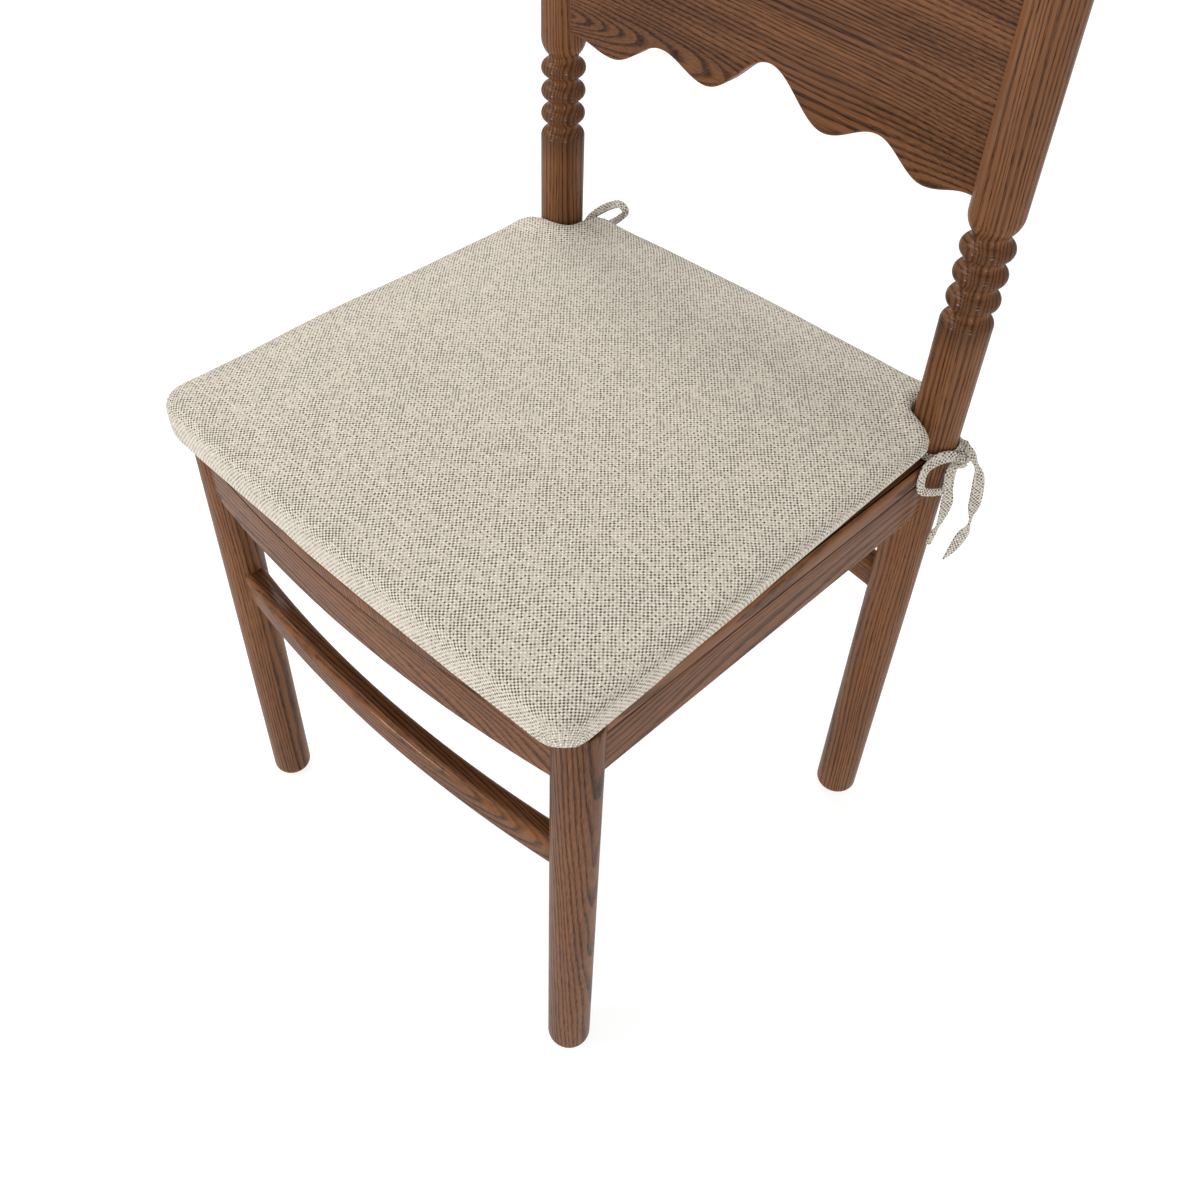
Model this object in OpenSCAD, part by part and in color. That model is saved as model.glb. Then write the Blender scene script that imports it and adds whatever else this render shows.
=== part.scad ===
// Side chair with turned posts, a scalloped back panel and a tied-on seat pad.
// Millimetres, +Z up. The chair faces -Y, and its left is at -X.
// The origin is on the floor, midway between the four leg axes.

/* [Overall] */
// Height to the top of the post finials
overall_h = 900; // [880:5:960]
// Height of the seat board's top face
seat_h = 450; // [430:5:470]
// Distance between the left and right leg axes
leg_span_x = 417; // [400:1:440]
// Distance between the front and rear leg axes
leg_span_y = 397; // [380:1:420]

/* [Legs and posts] */
// Diameter of the front legs
leg_d = 37; // [34:0.5:42]
// Diameter of the rear posts above the foot
post_d = 39; // [36:0.5:44]
// Radius that rounds the bottom edge of each foot
foot_round = 9; // [3:0.5:10]

/* [Turning] */
// Height of the first neck above the seat board
turning_rise = 126; // [100:1:140]
// Height of one bead
bead_pitch = 20; // [16:0.5:22]
// Number of beads in the seat-side group
bead_count = 3; // [1:1:4]
// Diameter of the core between two beads
neck_d = 26; // [20:0.5:30]
// Radius of the hollow between two beads
cove_r = 4.2; // [2:0.1:5]

/* [Rails] */
// Height of the seat rails
rail_h = 41; // [35:1:50]
// Thickness of the seat rails
rail_t = 22; // [18:1:24]
// How far a rail's outer face stands outside the leg axes
rail_proud = 12; // [8:1:14]
// Radius of the bow of the front rail, stretchers and back panel
bow_r = 1200; // [1000:50:2000]
// How far the front rail's outer face stands in front of the leg axes, at the middle
front_bow = 32; // [28:1:36]

/* [Stretchers] */
// Height of a stretcher's section
stretcher_h = 29; // [24:1:34]
// Depth of a stretcher's section
stretcher_t = 21; // [18:1:26]
// Radius that rounds a stretcher's four edges
stretcher_round = 7; // [2:0.5:8]
// How far the middle of a stretcher stands outside the leg axes
stretcher_bow = 16; // [14:1:18]
// Height of the underside of the front stretcher
front_stretcher_z = 272; // [200:1:300]
// Height of the underside of the rear stretcher
rear_stretcher_z = 284; // [200:1:310]

/* [Seat board] */
// Thickness of the seat board
board_t = 15; // [12:1:18]

/* [Back panel] */
// Thickness of the back panel
panel_t = 18; // [14:1:20]
// Height of the panel's middle line above the seat board
panel_mid = 302; // [290:1:320]

/* [Seat pad] */
// Thickness of the pad at its edge
pad_t = 33; // [20:1:40]
// Thickness of the pad's cloth
cloth_t = 1.4; // [1:0.1:2]

/* [Ties] */
// Width of a tie tape
tape_w = 10; // [8:0.5:14]
// Thickness of a tie tape
tape_t = 1.6; // [1:0.1:2]

/* [Fixings] */
// Diameter of the rail and panel dowels
dowel_d = 8; // [6:1:10]
// Length of a dowel
dowel_len = 30; // [24:1:36]
// Shank diameter of the wood screws
screw_d = 4; // [3:0.5:5]

/* [Hidden] */
$fn = 96;

WOOD = "#6e5040";
INNER_WOOD = "#b08b62";
CLOTH = "#c6beae";

leg_x = leg_span_x/2;
leg_y = leg_span_y/2;
leg_r = leg_d/2;
post_r = post_d/2;
glue_gap = 0.1;                         // between a rail end and the leg it is coped to
hole_gap = 0.05;                        // radial, round a dowel or a screw

rail_top = seat_h - board_t;
rail_z = rail_top - rail_h;
rail_out_x = leg_x + rail_proud;
rail_out_y = leg_y + rail_proud;
front_out = -leg_y - front_bow;         // y of the front rail's outer face at the middle
bow_centre = front_out + bow_r;         // y of the axis that the front rail bends round

foot_z = 1;                             // the glides hold the wood this far off the floor
glide_d = 18;
glide_h = 4;
glide_pin_d = 3;
glide_pin_len = 12;

bead_r = bead_pitch/2;                  // half the height of a bead with its two half coves
neck_r = neck_d/2;
cove_x = neck_r + cove_r;               // centre of a cove, from the post's axis
bead_cove = (bead_r^2 + (post_r - neck_r)^2)/(2*(post_r - neck_r));   // centre of a bead to centre of a cove
crest_r = bead_cove - cove_r + 0.05;    // radius of a bead's round, which just cuts into the coves
cove_edge = cove_x - cove_r/bead_cove*(cove_x - post_r + crest_r);    // where a cove turns into a bead
neck_z = seat_h + turning_rise;         // the lowest neck
beads_top = neck_z + bead_count*bead_pitch;
shoulder_r = 20;                        // arc that rounds the end above the beads
shoulder_rise = sqrt((shoulder_r + cove_r)^2 - (cove_x - post_r + shoulder_r)^2) - 0.05;
shoulder_edge = cove_x - cove_r/(shoulder_r + cove_r)*(cove_x - post_r + shoulder_r);
finial_r = 16;
top_bead_z = overall_h - finial_r - bead_r;
top_neck_z = top_bead_z - bead_r;

board_leg_gap = 0.4;                    // between the seat board and a front leg
board_post_gap = 0.6;                   // between the seat board and a rear post

// The panel's lower edge on the right half: [distance from the middle, drop below panel_mid].
scallop = [[0, 64], [57, 98], [104, 82], [149, 102], [190, 92]];
scallop_step = 4;
panel_half = leg_x;
panel_meets_x = leg_x - post_r;         // the panel's middle plane is on the post axes here

dowel_in_leg = 12;                      // from the leg's surface inwards
rail_dowel_z = [rail_z + 10, rail_z + 31];
panel_dowel_z = [seat_h + panel_mid - 55, seat_h + panel_mid + 55];
front_dowel_y = leg_y + 4;              // the front rail's middle line at the leg, without its sign
stretcher_dowel_y = leg_y - 1.5;

block_h = 32;
block_z = rail_top - block_h;
block_y = 122;                          // where the block's diagonal face leaves the side rail
block_x = 134;                          // where it leaves the front or the rear rail
block_back = 200;                       // past the inner faces of both those rails
block_clip = [178, 170];                // where the block's corner near the leg is cut off
block_leg_gap = 1;
screw_head_d = 8;
screw_head_h = 3;
screw_pocket = 14;                      // depth of the counterbore above a head
wood_under_head = 10;                   // from the top of a block screw's head to the rail
block_screw_len = 25;
board_screw_len = block_h + 8;
side_screw_y = 142;                     // where the block's screw enters the side rail
side_screw_z = block_z + block_h/2;
end_screw_x = 154;                      // where it enters the front or the rear rail
end_screw_z = side_screw_z + 8;
board_screw_x = 178;
board_screw_y = 166;
beyond = 100;                           // more than any cut has to reach

pad_z = seat_h + 0.5;
pad_corner_r = 24;
pad_notch_r = post_r + 3.2;
// The pad's corners, seen from above, before they are rounded.
pad_front_left = [-239, -233];
pad_front_right = [229, -235];
pad_rear_right = [218, 218];
pad_rear_left = [-234, 231];

wrap_r = post_r + 0.5;                  // inner radius of a tie where it goes round a post
knot_r = 6.5;

// ---- Shapes that repeat ----

// A wood screw that points down, with its countersunk head's top at the origin.
// Its bore, with a gap, has a counterbore above the head.
module screw(len, gap) {
    translate([0, 0, -len]) cylinder(h = len, d = screw_d + 2*gap);
    translate([0, 0, -screw_head_h])
        cylinder(h = screw_head_h + gap, d1 = screw_d + 2*gap, d2 = screw_head_d + 2*gap);
    if (gap > 0) cylinder(h = screw_pocket, d = screw_head_d + 2*gap);
}

// A ring segment between two heights that bends round a vertical axis at y.
module bent_board(y, inner_r, outer_r, z0, z1) {
    translate([0, y, z0]) linear_extrude(z1 - z0) difference() {
        circle(r = outer_r, $fn = 720);
        circle(r = inner_r, $fn = 720);
    }
}

// A slab across the chair, to cut a ring segment down to its length.
module between_legs(y0, y1, z0, z1) {
    translate([-leg_x, y0, z0]) cube([2*leg_x, y1 - y0, z1 - z0]);
}

// The space that the legs and posts take, to cope the pieces that meet them.
module leg_space(gap, z0, z1) {
    for (side = [-1, 1]) {
        translate([side*leg_x, -leg_y, z0]) cylinder(h = z1 - z0, r = leg_r + gap);
        translate([side*leg_x, leg_y, z0]) cylinder(h = z1 - z0, r = post_r + gap);
    }
}

// ---- Fixings, with gap = 0 for the piece and hole_gap for its bore ----

// Dowels along X, from inside a leg at y into the rail.
module dowels_x(y, heights, r_leg, gap, d) {
    offset_y = abs(abs(y) - leg_y);
    surface = leg_x - sqrt(r_leg*r_leg - offset_y*offset_y);
    for (side = [-1, 1], z = heights)
        translate([side*(surface + dowel_in_leg), y, z]) rotate([0, -90*side, 0])
            translate([0, 0, -gap]) cylinder(h = dowel_len + 2*gap, d = d + 2*gap);
}

// Dowels along Y, from the front leg or the rear post into a side rail.
module dowels_y(side, gap) {
    for (z = rail_dowel_z) {
        translate([side*leg_x, -leg_y + leg_r - dowel_in_leg - gap, z]) rotate([-90, 0, 0])
            cylinder(h = dowel_len + 2*gap, d = dowel_d + 2*gap);
        translate([side*leg_x, leg_y - post_r + dowel_in_leg + gap, z]) rotate([90, 0, 0])
            cylinder(h = dowel_len + 2*gap, d = dowel_d + 2*gap);
    }
}

module all_rail_dowels(gap) {
    dowels_x(-front_dowel_y, rail_dowel_z, leg_r, gap, dowel_d);
    dowels_x(leg_y, rail_dowel_z, post_r, gap, dowel_d);
    for (side = [-1, 1]) dowels_y(side, gap);
}

module all_stretcher_dowels(gap) {
    dowels_x(-stretcher_dowel_y, [front_stretcher_z + stretcher_h/2], leg_r, gap, dowel_d + 2);
    dowels_x(stretcher_dowel_y, [rear_stretcher_z + stretcher_h/2], post_r, gap, dowel_d + 2);
}

module all_panel_dowels(gap) {
    dowels_x(leg_y, panel_dowel_z, post_r, gap, dowel_d);
}

// How far the inner face of the front or the rear rail is from the middle, at an end screw.
function end_rail_inner(sy) = sy > 0
    ? rail_out_y - rail_t
    : sqrt(pow(bow_r - rail_t, 2) - end_screw_x*end_screw_x) - bow_centre;

// Screws through the corner blocks into the rails.
module block_screws(gap) {
    for (sx = [-1, 1], sy = [-1, 1]) {
        translate([sx*(rail_out_x - rail_t - wood_under_head), sy*side_screw_y, side_screw_z])
            rotate([0, -90*sx, 0]) screw(block_screw_len, gap);
        translate([sx*end_screw_x, sy*(end_rail_inner(sy) - wood_under_head), end_screw_z])
            rotate([90*sy, 0, 0]) screw(block_screw_len, gap);
    }
}

// Screws up through the corner blocks into the seat board.
module board_screws(gap) {
    for (sx = [-1, 1], sy = [-1, 1])
        translate([sx*board_screw_x, sy*board_screw_y, block_z]) rotate([180, 0, 0])
            screw(board_screw_len, gap);
}

module glide_at(x, y, gap) {
    translate([x, y, 0]) {
        cylinder(h = glide_h + gap, d = glide_d + 4*gap);
        cylinder(h = glide_h + glide_pin_len + gap, d = glide_pin_d + 2*gap);
    }
}

module glides(gap) {
    for (side = [-1, 1], y = [-leg_y, leg_y]) glide_at(side*leg_x, y, gap);
}

// ---- Legs and posts ----

// Half section of a turned foot: a rounded bottom edge and a straight side.
module foot_section(r, top) {
    translate([0, foot_z]) square([r - foot_round, foot_round]);
    translate([0, foot_z + foot_round]) square([r, top - foot_z - foot_round]);
    intersection() {
        translate([r - foot_round, foot_z + foot_round]) circle(r = foot_round);
        translate([0, foot_z]) square([r, foot_round + 1]);
    }
}

module leg_section() {
    foot_section(leg_r, seat_h);
}

// Rounds of the beads at the heights given, joined by the coves between them.
module beads_section(beads, necks, z0, z1) {
    difference() {
        translate([0, z0]) square([cove_edge, z1 - z0]);
        for (z = necks) translate([cove_x, z]) circle(r = cove_r);
    }
    for (z = beads)
        intersection() {
            translate([post_r - crest_r, z]) circle(r = crest_r);
            translate([0, z - crest_r - 1]) square([post_r + 1, 2*crest_r + 2]);
        }
}

// Half section of a rear post: plain, a group of beads, plain, one bead and a button.
module post_section() {
    plain_end = beads_top + shoulder_rise;
    foot_section(post_r, neck_z - bead_r);
    beads_section([for (i = [0:bead_count]) neck_z + (i - 0.5)*bead_pitch],
                  [for (i = [0:bead_count]) neck_z + i*bead_pitch], neck_z - bead_r, beads_top);
    difference() {
        translate([0, beads_top]) square([shoulder_edge, shoulder_rise]);
        translate([cove_x, beads_top]) circle(r = cove_r);
    }
    intersection() {
        translate([post_r - shoulder_r, plain_end]) circle(r = shoulder_r);
        translate([0, beads_top]) square([post_r, shoulder_rise + 1]);
    }
    translate([0, plain_end]) square([post_r, top_neck_z - bead_r - plain_end]);
    beads_section([top_neck_z - bead_r, top_bead_z], [top_neck_z], top_neck_z - bead_r, top_bead_z);
    translate([0, top_bead_z]) square([neck_r, bead_r]);
    intersection() {
        translate([0, overall_h - finial_r]) circle(r = finial_r);
        translate([0, overall_h - finial_r]) square([finial_r, finial_r + 1]);
    }
}

module front_leg(side) {
    color(WOOD) difference() {
        translate([side*leg_x, -leg_y, 0]) rotate_extrude() leg_section();
        all_rail_dowels(hole_gap);
        all_stretcher_dowels(hole_gap);
        glides(hole_gap);
    }
}

module rear_post(side) {
    color(WOOD) difference() {
        translate([side*leg_x, leg_y, 0]) rotate_extrude() post_section();
        all_rail_dowels(hole_gap);
        all_stretcher_dowels(hole_gap);
        all_panel_dowels(hole_gap);
        glides(hole_gap);
    }
}

// ---- Rails and stretchers ----

module front_rail() {
    color(WOOD) difference() {
        intersection() {
            bent_board(bow_centre, bow_r - rail_t, bow_r, rail_z, rail_top);
            between_legs(-leg_y - 2*front_bow, -leg_y + front_bow, rail_z, rail_top);
        }
        leg_space(glue_gap, rail_z - 1, rail_top + 1);
        dowels_x(-front_dowel_y, rail_dowel_z, leg_r, hole_gap, dowel_d);
        block_screws(hole_gap);
    }
}

module rear_rail() {
    color(WOOD) difference() {
        between_legs(rail_out_y - rail_t, rail_out_y, rail_z, rail_top);
        leg_space(glue_gap, rail_z - 1, rail_top + 1);
        dowels_x(leg_y, rail_dowel_z, post_r, hole_gap, dowel_d);
        block_screws(hole_gap);
    }
}

module side_rail(side) {
    color(WOOD) difference() {
        translate([side > 0 ? rail_out_x - rail_t : -rail_out_x, -leg_y, rail_z])
            cube([rail_t, 2*leg_y, rail_h]);
        leg_space(glue_gap, rail_z - 1, rail_top + 1);
        dowels_y(side, hole_gap);
        block_screws(hole_gap);
    }
}

// The rounded section of a stretcher, centred.
module stretcher_section(round_r) {
    square([stretcher_t, stretcher_h - 2*round_r], center = true);
    square([stretcher_t - 2*round_r, stretcher_h], center = true);
    for (x = [-1, 1], z = [-1, 1])
        translate([x*(stretcher_t/2 - round_r), z*(stretcher_h/2 - round_r)]) circle(r = round_r);
}

// A stretcher that bows away from the chair: facing is -1 at the front and 1 at the rear.
module stretcher(facing, z) {
    bow_angle = asin(leg_x/bow_r);
    middle = leg_y + stretcher_bow;
    color(WOOD) difference() {
        translate([0, facing*(middle - bow_r), z + stretcher_h/2])
            rotate([0, 0, facing*90 - bow_angle]) rotate_extrude(angle = 2*bow_angle, $fn = 720)
                translate([bow_r, 0]) stretcher_section(stretcher_round);
        leg_space(glue_gap, z - 1, z + stretcher_h + 1);
        all_stretcher_dowels(hole_gap);
    }
}

// ---- Seat board and back panel ----

module seat_board() {
    color(WOOD) difference() {
        translate([0, 0, rail_top]) linear_extrude(board_t) difference() {
            intersection() {
                translate([-rail_out_x, -leg_y - 2*front_bow])
                    square([2*rail_out_x, rail_out_y + leg_y + 2*front_bow]);
                translate([0, bow_centre]) circle(r = bow_r, $fn = 720);
            }
            for (side = [-1, 1]) {
                translate([side*leg_x, -leg_y]) circle(r = leg_r + board_leg_gap);
                translate([side*leg_x, leg_y]) circle(r = post_r + board_post_gap);
                for (end = [-1, 1])
                    translate([side*(leg_x + beyond/2), end*(leg_y + beyond/2)])
                        square(beyond, center = true);
            }
        }
        board_screws(hole_gap);
    }
}

// Smooth rise from one scallop point to the next, at distance x from the middle.
function ease(t) = (1 - cos(180*t))/2;
function drop_at(x, i = 0) = x <= scallop[i + 1][0] || i == len(scallop) - 2
    ? let (a = scallop[i], b = scallop[i + 1], t = min(1, (x - a[0])/(b[0] - a[0])))
        a[1] + (b[1] - a[1])*ease(t)
    : drop_at(x, i + 1);

module panel_outline() {
    stations = [for (x = [-panel_half:scallop_step:panel_half]) x];
    polygon(concat(
        [for (x = stations) [x, -drop_at(abs(x))]],
        [for (i = [len(stations) - 1:-1:0]) [stations[i], drop_at(abs(stations[i]))]]));
}

module back_panel() {
    reach = sqrt(bow_r*bow_r - panel_meets_x*panel_meets_x);
    panel_z = seat_h + panel_mid;
    color(WOOD) difference() {
        intersection() {
            bent_board(leg_y - reach, bow_r - panel_t/2, bow_r + panel_t/2,
                panel_z - beyond, panel_z + beyond);
            translate([0, leg_y + beyond/2, panel_z]) rotate([90, 0, 0])
                linear_extrude(beyond) panel_outline();
        }
        leg_space(glue_gap, panel_z - beyond, panel_z + beyond);
        all_panel_dowels(hole_gap);
    }
}

// ---- Corner blocks and fixings ----

// A diagonal block in the corner between a side rail and the front or rear rail.
module corner_block(sx, sy) {
    side_x = rail_out_x - rail_t - glue_gap;
    color(INNER_WOOD) difference() {
        translate([0, 0, block_z]) linear_extrude(block_h) scale([sx, sy])
            polygon([[side_x, block_y], [side_x, block_clip[1]],
                [block_clip[0], block_back], [block_x, block_back]]);
        bent_board(bow_centre, bow_r - rail_t - glue_gap, bow_r, block_z - 1, rail_top + 1);
        translate([-leg_x, rail_out_y - rail_t - glue_gap, block_z - 1])
            cube([2*leg_x, beyond, block_h + 2]);
        leg_space(block_leg_gap, block_z - 1, rail_top + 1);
        block_screws(hole_gap);
        board_screws(hole_gap);
    }
}

module front_rail_dowels() {
    color(INNER_WOOD) dowels_x(-front_dowel_y, rail_dowel_z, leg_r, 0, dowel_d);
}

module rear_rail_dowels() {
    color(INNER_WOOD) dowels_x(leg_y, rail_dowel_z, post_r, 0, dowel_d);
}

module side_rail_dowels() {
    color(INNER_WOOD) for (side = [-1, 1]) dowels_y(side, 0);
}

module stretcher_dowels() {
    color(INNER_WOOD) all_stretcher_dowels(0);
}

module back_panel_dowels() {
    color(INNER_WOOD) all_panel_dowels(0);
}

module corner_block_screws() {
    color("silver") block_screws(0);
}

module seat_board_screws() {
    color("silver") board_screws(0);
}

module foot_glides() {
    color("dimgray") glides(0);
}

// ---- Seat pad ----

// The pad's outline, drawn in by inset, with its rear corners notched round the posts.
module pad_outline(inset) {
    round_r = pad_corner_r - inset;
    difference() {
        hull() for (c = [pad_front_left, pad_front_right, pad_rear_right, pad_rear_left])
            translate([c[0] - sign(c[0])*pad_corner_r, c[1] - sign(c[1])*pad_corner_r])
                circle(r = round_r, $fn = 32);
        for (side = [-1, 1]) {
            translate([side*leg_x, leg_y]) circle(r = pad_notch_r + inset, $fn = 48);
            translate([side*(leg_x + beyond/2 - inset), leg_y - pad_notch_r/2 + beyond/2 - inset])
                square(beyond, center = true);
        }
    }
}

module pad_top_cover() {
    base = pad_z + cloth_t + 0.1;
    color(CLOTH) difference() {
        translate([0, 0, base]) linear_extrude(pad_t - cloth_t) pad_outline(0);
        translate([0, 0, base - 1]) linear_extrude(pad_t - 2*cloth_t + 1) pad_outline(cloth_t);
    }
}

module pad_base_cloth() {
    color(CLOTH) translate([0, 0, pad_z]) linear_extrude(cloth_t) pad_outline(0.5);
}

module pad_foam() {
    color("ivory") translate([0, 0, pad_z + cloth_t + 0.3])
        linear_extrude(pad_t - 2*cloth_t - 0.6) pad_outline(cloth_t + 0.3);
}

// ---- Ties ----

function unit(v) = v/norm(v);
function heading(route, i) =
    unit(route[min(i + 1, len(route) - 1)] - route[max(i - 1, 0)]);
// Four corners of a flat tape at one point of its route; across is the way its width points.
function tape_corners(route, i, across) =
    let (along = heading(route, i), w = unit(across - (across*along)*along), n = cross(along, w))
    [for (c = [[1, 1], [-1, 1], [-1, -1], [1, -1]])
        route[i] + w*c[0]*tape_w/2 + n*c[1]*tape_t/2];

// A flat tape along a route.
module tape(route, across) {
    last = len(route) - 1;
    points = [for (i = [0:last]) each tape_corners(route, i, across)];
    sides = [for (i = [0:last - 1], k = [0:3]) let (a = 4*i + k, b = 4*i + (k + 1)%4)
        each [[a, b, b + 4], [a, b + 4, a + 4]]];
    ends = [[2, 1, 0], [3, 2, 0], [4*last, 4*last + 1, 4*last + 2], [4*last, 4*last + 2, 4*last + 3]];
    polyhedron(points = points, faces = concat(sides, ends), convexity = 6);
}

// The tape round a post, as an open ring between two angles.
module tie_wrap(from, to, z) {
    rotate([0, 0, from]) translate([0, 0, z]) rotate_extrude(angle = to - from)
        translate([wrap_r, 0]) square([tape_t, tape_w]);
}

// Places a tie at its post, with the seat board's top face at height 0.
module at_post(side) {
    color(CLOTH) translate([side*leg_x, leg_y, seat_h]) children();
}

// Routes of the right tie, from the post's axis at the seat board's top face.
right_knot = [28, 7, 4];
right_front_loop = [[27, 1, 7], [23, -10, 12], [19, -22, 12], [17, -32, 4], [17, -37, -9],
    [18, -33, -20], [22, -22, -25], [28, -12, -21], [31, -6, -10], [30, 0, -1]];
right_rear_loop = [[25, 13, 6], [19, 24, 9], [10, 31, 6], [5, 33, -5], [8, 31, -16],
    [17, 25, -19], [24, 18, -12], [27, 13, -2]];
right_long_tail = [[32, 16, -2], [36, 21, -12], [41, 27, -32], [44, 31, -54], [41, 28, -74],
    [36, 22, -96], [31, 17, -116]];
right_short_tail = [[31, 4, -4], [32, 0, -20], [32, -1, -42], [30, -2, -62], [27, -3, -80]];

// Routes of the left tie, which is knotted behind its post.
left_knot = [6, 27, 14];
left_inner_loop = [[11, 29, 20], [19, 32, 30], [28, 37, 37], [36, 40, 38], [40, 41, 32],
    [36, 41, 23], [26, 37, 17], [14, 32, 13]];
left_outer_loop = [[0, 28, 17], [-10, 30, 17], [-22, 29, 9], [-34, 25, -4], [-41, 20, -18],
    [-40, 18, -30], [-31, 22, -31], [-20, 27, -20], [-9, 30, -4], [-1, 31, 7]];
left_long_tail = [[9, 32, 9], [13, 34, -10], [15, 34, -32], [13, 33, -56], [8, 32, -80]];
left_short_tail = [[-3, 34, 4], [-4, 35, -14], [-6, 34, -36], [-4, 32, -58]];

loop_across = [0.8, -0.2, 0.55];

module tie_left_wrap() {
    at_post(-1) tie_wrap(10, 258, 7);
}

module tie_left_knot() {
    at_post(-1) translate(left_knot) sphere(r = knot_r, $fn = 32);
}

module tie_left_loops() {
    at_post(-1) {
        tape(left_inner_loop, [0.2, 1, -0.2]);
        tape(left_outer_loop, [0.2, 1, 0.2]);
    }
}

module tie_left_tails() {
    at_post(-1) {
        tape(left_long_tail, [1, 0, 0]);
        tape(left_short_tail, [1, 0, 0]);
    }
}

module tie_right_wrap() {
    at_post(1) tie_wrap(-78, 170, 1);
}

module tie_right_knot() {
    at_post(1) translate(right_knot) sphere(r = knot_r, $fn = 32);
}

module tie_right_loops() {
    at_post(1) {
        tape(right_front_loop, loop_across);
        tape(right_rear_loop, loop_across);
    }
}

module tie_right_tails() {
    at_post(1) {
        tape(right_long_tail, [0.7, 0.7, 0]);
        tape(right_short_tail, [0.7, 0.7, 0]);
    }
}

front_leg(-1);  // front_leg_left
front_leg(1);  // front_leg_right
rear_post(-1);  // rear_post_left
rear_post(1);  // rear_post_right
front_rail();
rear_rail();
side_rail(-1);  // side_rail_left
side_rail(1);  // side_rail_right
stretcher(-1, front_stretcher_z);  // front_stretcher
stretcher(1, rear_stretcher_z);  // rear_stretcher
seat_board();
back_panel();
corner_block(-1, -1);  // corner_block_front_left
corner_block(1, -1);  // corner_block_front_right
corner_block(-1, 1);  // corner_block_rear_left
corner_block(1, 1);  // corner_block_rear_right
front_rail_dowels();
rear_rail_dowels();
side_rail_dowels();
stretcher_dowels();
back_panel_dowels();
corner_block_screws();
seat_board_screws();
foot_glides();
pad_top_cover();
pad_base_cloth();
pad_foam();
tie_left_wrap();
tie_left_knot();
tie_left_loops();
tie_left_tails();
tie_right_wrap();
tie_right_knot();
tie_right_loops();
tie_right_tails();
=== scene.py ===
"""A side chair with turned rear posts and a tied-on seat pad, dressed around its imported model.

Lengths are in metres. The chair faces -Y, left is -X, and the origin is on the floor between its feet.
"""

import logging
import math
from collections.abc import Callable, Sequence
from dataclasses import dataclass, field
from enum import Enum

import bmesh
import bpy
import numpy as np
from mathutils import Matrix, Vector


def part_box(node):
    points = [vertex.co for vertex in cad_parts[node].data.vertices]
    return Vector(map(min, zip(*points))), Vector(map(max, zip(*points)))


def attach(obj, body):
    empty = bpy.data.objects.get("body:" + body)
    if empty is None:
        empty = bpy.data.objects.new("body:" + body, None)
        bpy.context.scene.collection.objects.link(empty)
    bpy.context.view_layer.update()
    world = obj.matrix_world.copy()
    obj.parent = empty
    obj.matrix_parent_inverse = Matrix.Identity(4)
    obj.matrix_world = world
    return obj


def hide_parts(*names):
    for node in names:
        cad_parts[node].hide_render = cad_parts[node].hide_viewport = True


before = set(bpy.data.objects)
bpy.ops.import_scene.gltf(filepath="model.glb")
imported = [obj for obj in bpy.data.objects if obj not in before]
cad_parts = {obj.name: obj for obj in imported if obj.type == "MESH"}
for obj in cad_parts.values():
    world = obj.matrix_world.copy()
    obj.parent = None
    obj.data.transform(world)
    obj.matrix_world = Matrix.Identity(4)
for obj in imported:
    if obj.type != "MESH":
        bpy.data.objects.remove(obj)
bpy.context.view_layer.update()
BODY = "root"
MM = 0.001
log = logging.getLogger("side_chair")

Point2 = tuple[float, float]
Point3 = tuple[float, float, float]
Feed = float | tuple | bpy.types.NodeSocket


# ---------------------------------------------------------------- the chair's main places


def axis_of(node: str) -> Point2:
    """The upright axis of a round CAD node, as (x, y)."""
    low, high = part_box(node)
    return (low.x + high.x) / 2, (low.y + high.y) / 2


def radius_of(node: str) -> float:
    """The radius of a round upright CAD node."""
    low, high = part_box(node)
    return (high.x - low.x) / 2


class Run(Enum):
    """The way that a bar runs between its two uprights."""

    ACROSS = 0
    FRONT_TO_BACK = 1


class Side(Enum):
    """Left and right as seen from the front."""

    LEFT = -1
    RIGHT = 1

    @property
    def word(self) -> str:
        """The side's name in the names of pieces."""
        return self.name.lower()


# ---------------------------------------------------------------- meshes


@dataclass
class Solid:
    """Points, faces and per-point marks of one piece before it becomes an object."""

    points: np.ndarray
    faces: list[Sequence[int]]
    wear_and_shade: np.ndarray

    def build(self, name: str, crease: float = 35.0) -> bpy.types.Object:
        """Makes the object, with smooth faces and sharp creases.

        Args:
            name: the piece's name.
            crease: the angle in degrees over which an edge stays sharp.

        Returns:
            The new object, linked to the scene.
        """
        mesh = bpy.data.meshes.new(name)
        mesh.from_pydata([tuple(p) for p in self.points], [], [tuple(f) for f in self.faces])
        work = bmesh.new()
        work.from_mesh(mesh)
        bmesh.ops.recalc_face_normals(work, faces=work.faces)
        work.to_mesh(mesh)
        work.free()
        mesh.shade_smooth()
        mesh.set_sharp_from_angle(angle=math.radians(crease))
        mark(mesh, "wear_and_shade", self.wear_and_shade)
        piece = bpy.data.objects.new(name, mesh)
        bpy.context.scene.collection.objects.link(piece)
        return piece


def mark(mesh: bpy.types.Mesh, name: str, values: np.ndarray) -> None:
    """Stores a number or a vector for each point of a mesh, under a name that materials read."""
    kind = "FLOAT" if values.ndim == 1 else "FLOAT_VECTOR"
    entry = "value" if values.ndim == 1 else "vector"
    attribute = mesh.attributes.new(name, kind, "POINT")
    attribute.data.foreach_set(entry, np.ascontiguousarray(values, np.float32).ravel())


def points_of(mesh: bpy.types.Mesh) -> np.ndarray:
    """A mesh's points as rows of x, y, z."""
    found = np.zeros(len(mesh.vertices) * 3)
    mesh.vertices.foreach_get("co", found)
    return found.reshape(-1, 3)


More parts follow.
